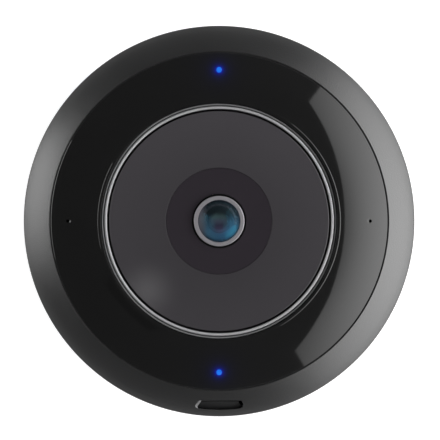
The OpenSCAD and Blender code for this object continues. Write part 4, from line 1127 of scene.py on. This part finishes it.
class CAMERA_OT_lens(Operator):
    """Make the lens ring, the front glass, the coated element and the barrel"""

    bl_idname = "camera_part.lens"
    bl_label = "Lens"

    def execute(self, context):
        sizes = context.scene.camera_sizes
        inner_edge, outer_edge = 0.14 * MM, 0.2 * MM
        low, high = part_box("lens_ring")
        ring_base = low.z
        loop = soft_loop([
            (sizes.lens_hole, low.z), (sizes.lens_hole, high.z, inner_edge), (high.x, high.z, outer_edge),
            (high.x, low.z)])
        ring = add_turned(context, "lens_bezel", loop, "lens_metal", "lens_ring")

        low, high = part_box("front_glass")
        dome = Arc(0.0, high.z - sizes.glass_dome, sizes.glass_dome)
        hollow = Arc(0.0, high.z - sizes.glass_wall - sizes.hollow_radius, sizes.hollow_radius)
        flange = math.sqrt(max(sizes.hollow_radius ** 2 - (low.z - hollow.centre_z) ** 2, 0.0))
        loop = dome.points(0.0, high.x, 26) + [(high.x, low.z)] + hollow.points(flange, 0.0, 22)
        glass = add_turned(context, "lens_dome", loop, "lens_glass", "front_glass")
        ring.visible_shadow = glass.visible_shadow = False

        low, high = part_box("second_element")
        dome = Arc(0.0, high.z - sizes.inner_dome, sizes.inner_dome)
        loop = dome.points(0.0, high.x, 22) + [(high.x, low.z), (0.0, low.z)]
        add_turned(context, "coated_element", loop, "lens_glass", "second_element", "lens_coating_reflection")

        low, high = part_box("lens_barrel")
        seated_low, seated_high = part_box("second_element")
        seat, bore = seated_low.z, seated_high.x + 0.08 * MM
        shelf, groove, crest = bore - 1.0 * MM, bore + 0.14 * MM, bore + 0.02 * MM
        steps = 5
        rise = (ring_base - seat) / steps
        loop = [(high.x, high.z), (high.x, low.z), (shelf, low.z), (shelf, seat), (bore, seat)]
        for k in range(steps):
            z = seat + rise * k
            loop += [(bore, z + rise * 0.25), (groove, z + rise * 0.5), (crest, z + rise)]
        add_turned(context, "barrel_tube", loop, "inner_black", "lens_barrel")
        return {"FINISHED"}


class CAMERA_OT_lamps(Operator):
    """Make the two lit windows of the front ring"""

    bl_idname = "camera_part.lamps"
    bl_label = "Lamps"

    def execute(self, context):
        sizes = context.scene.camera_sizes
        low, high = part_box("light_pipes")
        clear, crown = 0.06 * MM, 0.18 * MM
        radius = sizes.lamp_diameter / 2 - clear
        section = [(0.0, high.z)]
        for turn in (0.4, 0.8, 1.2, 1.57):
            section.append((radius * math.sin(turn), high.z - crown * (1 - math.cos(turn))))
        section += [(radius, low.z), (0.0, low.z)]
        finish = finish_of(context, "pipe_blue")
        pipe = turned_mesh(context, section, finish)
        mesh = run_tree(pipe, pieces_on_circle, {
            "Count": 2, "Radius": sizes.signal_radius, "First Angle": math.pi / 2, "Finish": finish})
        add_piece("lamp_windows", closed_mesh(mesh), "head", "light_pipes")
        return {"FINISHED"}


class CAMERA_OT_base(Operator):
    """Make the painted base and the seal in its seam"""

    bl_idname = "camera_part.base"
    bl_label = "Base"

    def execute(self, context):
        add_softened(context, "base_shell", "head", "base_paint", "base_housing", 0.18 * MM)
        low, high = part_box("body_seal")
        cord = (high.z - low.z) / 2
        facets = 16
        angles = [2 * math.pi * k / facets for k in range(facets)]
        loop = [
            (high.x - cord + cord * math.cos(angle), low.z + cord + cord * math.sin(angle))
            for angle in angles]
        add_turned(context, "seam_seal", loop, "rubber_black", "body_seal")
        return {"FINISHED"}


class CAMERA_OT_plate(Operator):
    """Make the mounting plate, the release latch with its spring, and the reset button"""

    bl_idname = "camera_part.plate"
    bl_label = "Plate and buttons"

    def execute(self, context):
        edge, small_edge = 0.25 * MM, 0.12 * MM
        add_softened(context, "back_plate", "mount", "plate_steel", "mounting_plate", edge)
        add_softened(context, "latch_button", "latch", "latch_black", "release_latch", small_edge)
        add_softened(context, "reset_button", "reset", "plunger_grey", "reset_plunger", small_edge)
        self.spring(context)
        return {"FINISHED"}

    def spring(self, context):
        """The latch's spring, with closed end turns."""
        low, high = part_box("latch_spring")
        wire, turns, steps = 0.5 * MM, 9, 24
        middle, radius = (low + high) / 2, (high.x - low.x - wire) / 2
        closed = wire * 1.04
        pitch = (high.z - low.z - wire - 2 * closed) / (turns - 2)
        points = []
        for step in range(turns * steps + 1):
            turn = step / steps
            rise = closed * min(turn, 1.0) + closed * max(turn - turns + 1, 0.0)
            rise += pitch * min(max(turn - 1.0, 0.0), turns - 2.0)
            angle = 2 * math.pi * turn
            points.append((
                middle.x + radius * math.cos(angle), middle.y + radius * math.sin(angle),
                low.z + wire / 2 + rise))
        path = bpy.data.meshes.new("coil")
        path.from_pydata(points, [(step, step + 1) for step in range(turns * steps)], [])
        finish = finish_of(context, "screw_steel")
        mesh = run_tree(path, wire_along_path, {"Wire Radius": wire / 2, "Finish": finish})
        made = add_piece("latch_coil", closed_mesh(mesh), "head", "latch_spring")
        joints = {joint["name"]: joint for joint in frame["record"]["behaviour"]["joints"]}
        travel = joints["release_press"]["range_m"][1]
        1.0 - travel / (high.z - low.z)
        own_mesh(made)


class CAMERA_OT_socket(Operator):
    """Make the network socket with its contacts"""

    bl_idname = "camera_part.socket"
    bl_label = "Network socket"

    def execute(self, context):
        add_softened(context, "socket_shell", "head", "jack_metal", "network_jack", 0.12 * MM)
        low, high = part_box("jack_contacts")
        count, width, tip = 8, 0.4 * MM, 0.3 * MM
        pitch, half = (high.x - low.x - width) / (count - 1), width / 2
        steps = ((half * 0.5, low.y, low.z + tip), (half, low.y + tip, low.z), (half, high.y, low.z))
        contact = lofted_mesh([
            [(-side, y, foot), (side, y, foot), (side, y, high.z), (-side, y, high.z)]
            for side, y, foot in steps])
        finish = finish_of(context, "brass_gold")
        mesh = run_tree(contact, pieces_in_row, {"Count": count, "Pitch": pitch, "Finish": finish})
        add_piece("socket_contacts", closed_mesh(mesh), "head", "jack_contacts")
        return {"FINISHED"}


class CAMERA_OT_screws(Operator):
    """Make the four housing screws"""

    bl_idname = "camera_part.screws"
    bl_label = "Housing screws"

    def execute(self, context):
        low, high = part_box("housing_screws")
        head, head_height, shank, soft = 2.7 * MM, 2.0 * MM, 1.5 * MM, 0.35 * MM
        socket, depth, facets, sixth = 1.35 * MM, 1.2 * MM, 24, math.pi / 3
        circle = math.hypot(high.x - head, high.y - head)
        angles = [2 * math.pi * i / facets for i in range(facets)]
        hexagon = [
            socket * math.cos(sixth / 2) / math.cos((a + sixth / 2) % sixth - sixth / 2) for a in angles]
        loops = [ring_loop(hexagon, low.z + depth), ring_loop(hexagon, low.z)]
        for radius, z in (
                (head - soft, low.z), (head - soft * 0.3, low.z + soft * 0.3), (head, low.z + soft),
                (head, low.z + head_height), (shank, low.z + head_height), (shank, high.z)):
            loops.append(ring_loop([radius] * facets, z))
        finish = finish_of(context, "screw_steel")
        mesh = run_tree(lofted_mesh(loops), pieces_on_circle, {
            "Count": 4, "Radius": circle, "First Angle": math.pi / 4, "Finish": finish})
        add_piece("case_screws", closed_mesh(mesh), "head", "housing_screws")
        return {"FINISHED"}


class CAMERA_OT_inside(Operator):
    """Give the remaining frame nodes their finishes"""

    bl_idname = "camera_part.inside"
    bl_label = "Inner parts"

    def execute(self, context):
        for row in frame["record"]["subparts"]:
            node = frame["nodes"][row["node"]]
            if node.hide_render:
                continue
            slot = row["material_slot"]
            material = finish_of(context, "lens_coating_reflection" if slot == "lens_glass" else slot)
            node.data.materials.clear()
            node.data.materials.append(material)
        return {"FINISHED"}


class CAMERA_OT_stage(Operator):
    """Set up the white floor, the lights, the world and the view"""

    bl_idname = "camera_part.stage"
    bl_label = "Stage"

    def execute(self, context):
        stage = context.scene.camera_stage
        self.floor(stage)
        self.right_light(stage)
        self.left_light(stage)
        self.soft_light(stage)
        self.world(context.scene, stage)
        self.view(context.scene, stage)
        context.scene.view_settings.view_transform = "Standard"
        return {"FINISHED"}

    def panel(self, name, corners, material):
        """A flat piece of the stage."""
        mesh = bpy.data.meshes.new(name)
        mesh.from_pydata(corners, [], [range(len(corners))])
        mesh.materials.append(material)
        made = linked_object(name, mesh)
        return made

    def light_panel(self, name, corners, finish, strength):
        """A flat light that is seen only where it is mirrored."""
        light = finish.add("ShaderNodeEmission", {"Color": WHITE, "Strength": strength})
        finish.add("ShaderNodeOutputMaterial", {"Surface": light})
        made = self.panel(name, corners, finish.material)
        made.visible_camera = False
        made.visible_shadow = False
        return made

    def floor(self, stage):
        """A white floor that shows white, keeps the shadow and is open from below."""
        finish = Finish("stage_floor")
        path = finish.add("ShaderNodeLightPath")
        seen = (path + path.output("Is Transmission Ray")).clamped()
        paper = finish.shaded(finish.noise(40 * MM, 2.0), (0.5, 0.5, 0.5), 0.98, 1.02)
        matt = finish.add("ShaderNodeBsdfDiffuse", {"Color": paper})
        strength = stage.floor_light + seen * stage.floor_seen
        strength = strength + path.output("Is Glossy Ray") * stage.floor_mirrored
        light = finish.add("ShaderNodeEmission", {"Color": WHITE, "Strength": strength})
        top = finish.add("ShaderNodeAddShader", {0: matt, 1: light})
        open_side = finish.add("ShaderNodeBsdfTransparent")
        below = finish.add("ShaderNodeNewGeometry").output("Backfacing")
        shader = finish.add("ShaderNodeMixShader", {0: below, 1: top, 2: open_side})
        finish.add("ShaderNodeOutputMaterial", {"Surface": shader})
        half, z = 3.0, -0.3 * MM
        corners = [(-half, -half, z), (half, -half, z), (half, half, z), (-half, half, z)]
        self.panel("floor", corners, finish.material)

    def right_light(self, stage):
        """A wide panel on the right that fades towards the viewer and towards its ends."""
        x = stage.side_distance
        steep, flat = 1 / math.tan(stage.right_top), 1 / math.tan(stage.right_full)
        finish = Finish("stage_right_light")
        rise = finish.axis("Z") / (x * x + finish.axis("Y") ** 2.0) ** 0.5
        fade = rise.ramp(steep, flat) ** 1.35
        aside = (finish.axis("Y") + 0.05 * x) * (1.0 / x)
        strength = stage.right_front + fade * (stage.right_back - stage.right_front)
        strength = strength / (1.0 + aside * aside * 0.75)
        corners = [(x, x * math.tan(math.radians(RIGHT_EDGE[end][0])), 0.0) for end in (-1, 0)]
        for degrees, share in RIGHT_EDGE:
            corners.append((x, x * math.tan(math.radians(degrees)), steep * x * share))
        self.light_panel("right_light", corners, finish, strength)

    def left_light(self, stage):
        """A small panel on the left that fades towards its lower end."""
        x = stage.side_distance
        low, high = -x * math.tan(stage.left_low), x * math.tan(stage.left_high)
        top = x / math.tan(stage.left_top)
        finish = Finish("stage_left_light")
        fade = (0.78 + finish.axis("Y") * (1.5 / x)).clamped()
        corners = [(-x, low, 0.0), (-x, low, top), (-x, high, top), (-x, high, 0.0)]
        self.light_panel("left_light", corners, finish, fade * stage.left_light)

    def soft_light(self, stage):
        """A small panel beside the viewer, at the lower left, that fades out from its middle. It doesn't
        light the front ring, where it would leave a pale streak."""
        lean, turn, reach = stage.soft_lean, stage.soft_turn, stage.soft_reach
        back = Vector((math.sin(lean) * math.cos(turn), math.sin(lean) * math.sin(turn), math.cos(lean)))
        middle, turned = back * stage.soft_distance, back.to_track_quat("Z", "Y")
        finish = Finish("stage_soft_light")
        fade = finish.distance(middle).ramp(reach, 0.0) ** 1.4
        corners = [
            middle + turned @ Vector((reach * a, reach * b, 0.0))
            for a, b in ((-1, 1), (1, 1), (1, -1), (-1, -1))]
        made = self.light_panel("soft_light", corners, finish, fade * stage.soft_light)
        unlit = bpy.data.collections.new("soft_light_unlit")
        unlit.objects.link(bpy.data.objects["front_panel"])
        unlit.collection_objects[0].light_linking.link_state = "EXCLUDE"
        made.light_linking.receiver_collection = unlit

    def world(self, scene, stage):
        """White behind the object, and a dim sky that grows lighter towards the horizon."""
        scene.world = bpy.data.worlds.new("stage_world")
        scene.world.use_nodes = True
        graph = Graph(scene.world.node_tree)
        direction = graph.add("ShaderNodeTexCoord").output("Generated")
        up = graph.add("ShaderNodeSeparateXYZ", {"Vector": direction}).output("Z")
        path = graph.add("ShaderNodeLightPath")
        level = (1.0 - abs(up)).clamped() ** 1.5
        sky = stage.zenith + level * (stage.ambient - stage.zenith)
        below = up < 0.0
        seen = (path + path.output("Is Transmission Ray") + path.output("Is Glossy Ray") * below).clamped()
        back = graph.add("ShaderNodeBackground", {"Color": WHITE, "Strength": seen + (1.0 - seen) * sky})
        graph.add("ShaderNodeOutputWorld", {"Surface": back})

    def view(self, scene, stage):
        """A parallel view straight onto the lens, framed as the photograph is."""
        rim = cad_box[1].x
        lens = bpy.data.cameras.new("view")
        lens.type = "ORTHO"
        lens.ortho_scale = rim * PHOTO_PIXELS / RIM_PIXELS
        made = linked_object("view", lens)
        made.location = (stage.shift_x, stage.shift_y, stage.view_distance)
        scene.camera = made


PIECE_OPERATORS = (
    CAMERA_OT_bezel, CAMERA_OT_front_ring, CAMERA_OT_trim, CAMERA_OT_window, CAMERA_OT_lens, CAMERA_OT_lamps,
    CAMERA_OT_base, CAMERA_OT_plate, CAMERA_OT_socket, CAMERA_OT_screws, CAMERA_OT_inside, CAMERA_OT_stage)


class CAMERA_PT_parts(Panel):
    """Lists the camera's pieces in the sidebar"""

    bl_idname = "CAMERA_PT_parts"
    bl_label = "Camera part"
    bl_space_type = "VIEW_3D"
    bl_region_type = "UI"
    bl_category = "Camera part"

    def draw(self, context):
        for operator in PIECE_OPERATORS:
            self.layout.operator(operator.bl_idname)


CLASSES = (CameraSizes, CameraFinish, StageSettings, *PIECE_OPERATORS, CAMERA_PT_parts)


def register():
    """Registers the classes and hangs the settings on the scene."""
    for item in CLASSES:
        bpy.utils.register_class(item)
    bpy.types.Scene.camera_sizes = PointerProperty(type=CameraSizes)
    bpy.types.Scene.camera_finish = PointerProperty(type=CameraFinish)
    bpy.types.Scene.camera_stage = PointerProperty(type=StageSettings)


def unregister():
    """Takes the settings off the scene and unregisters the classes."""
    del bpy.types.Scene.camera_stage
    del bpy.types.Scene.camera_finish
    del bpy.types.Scene.camera_sizes
    for item in reversed(CLASSES):
        bpy.utils.unregister_class(item)


def main():
    """Makes every piece and the stage."""
    register()
    bpy.ops.camera_part.bezel()
    bpy.ops.camera_part.front_ring()
    bpy.ops.camera_part.trim()
    bpy.ops.camera_part.window()
    bpy.ops.camera_part.lens()
    bpy.ops.camera_part.lamps()
    bpy.ops.camera_part.base()
    bpy.ops.camera_part.plate()
    bpy.ops.camera_part.socket()
    bpy.ops.camera_part.screws()
    bpy.ops.camera_part.inside()
    bpy.ops.camera_part.stage()


if __name__ == "__main__":
    main()
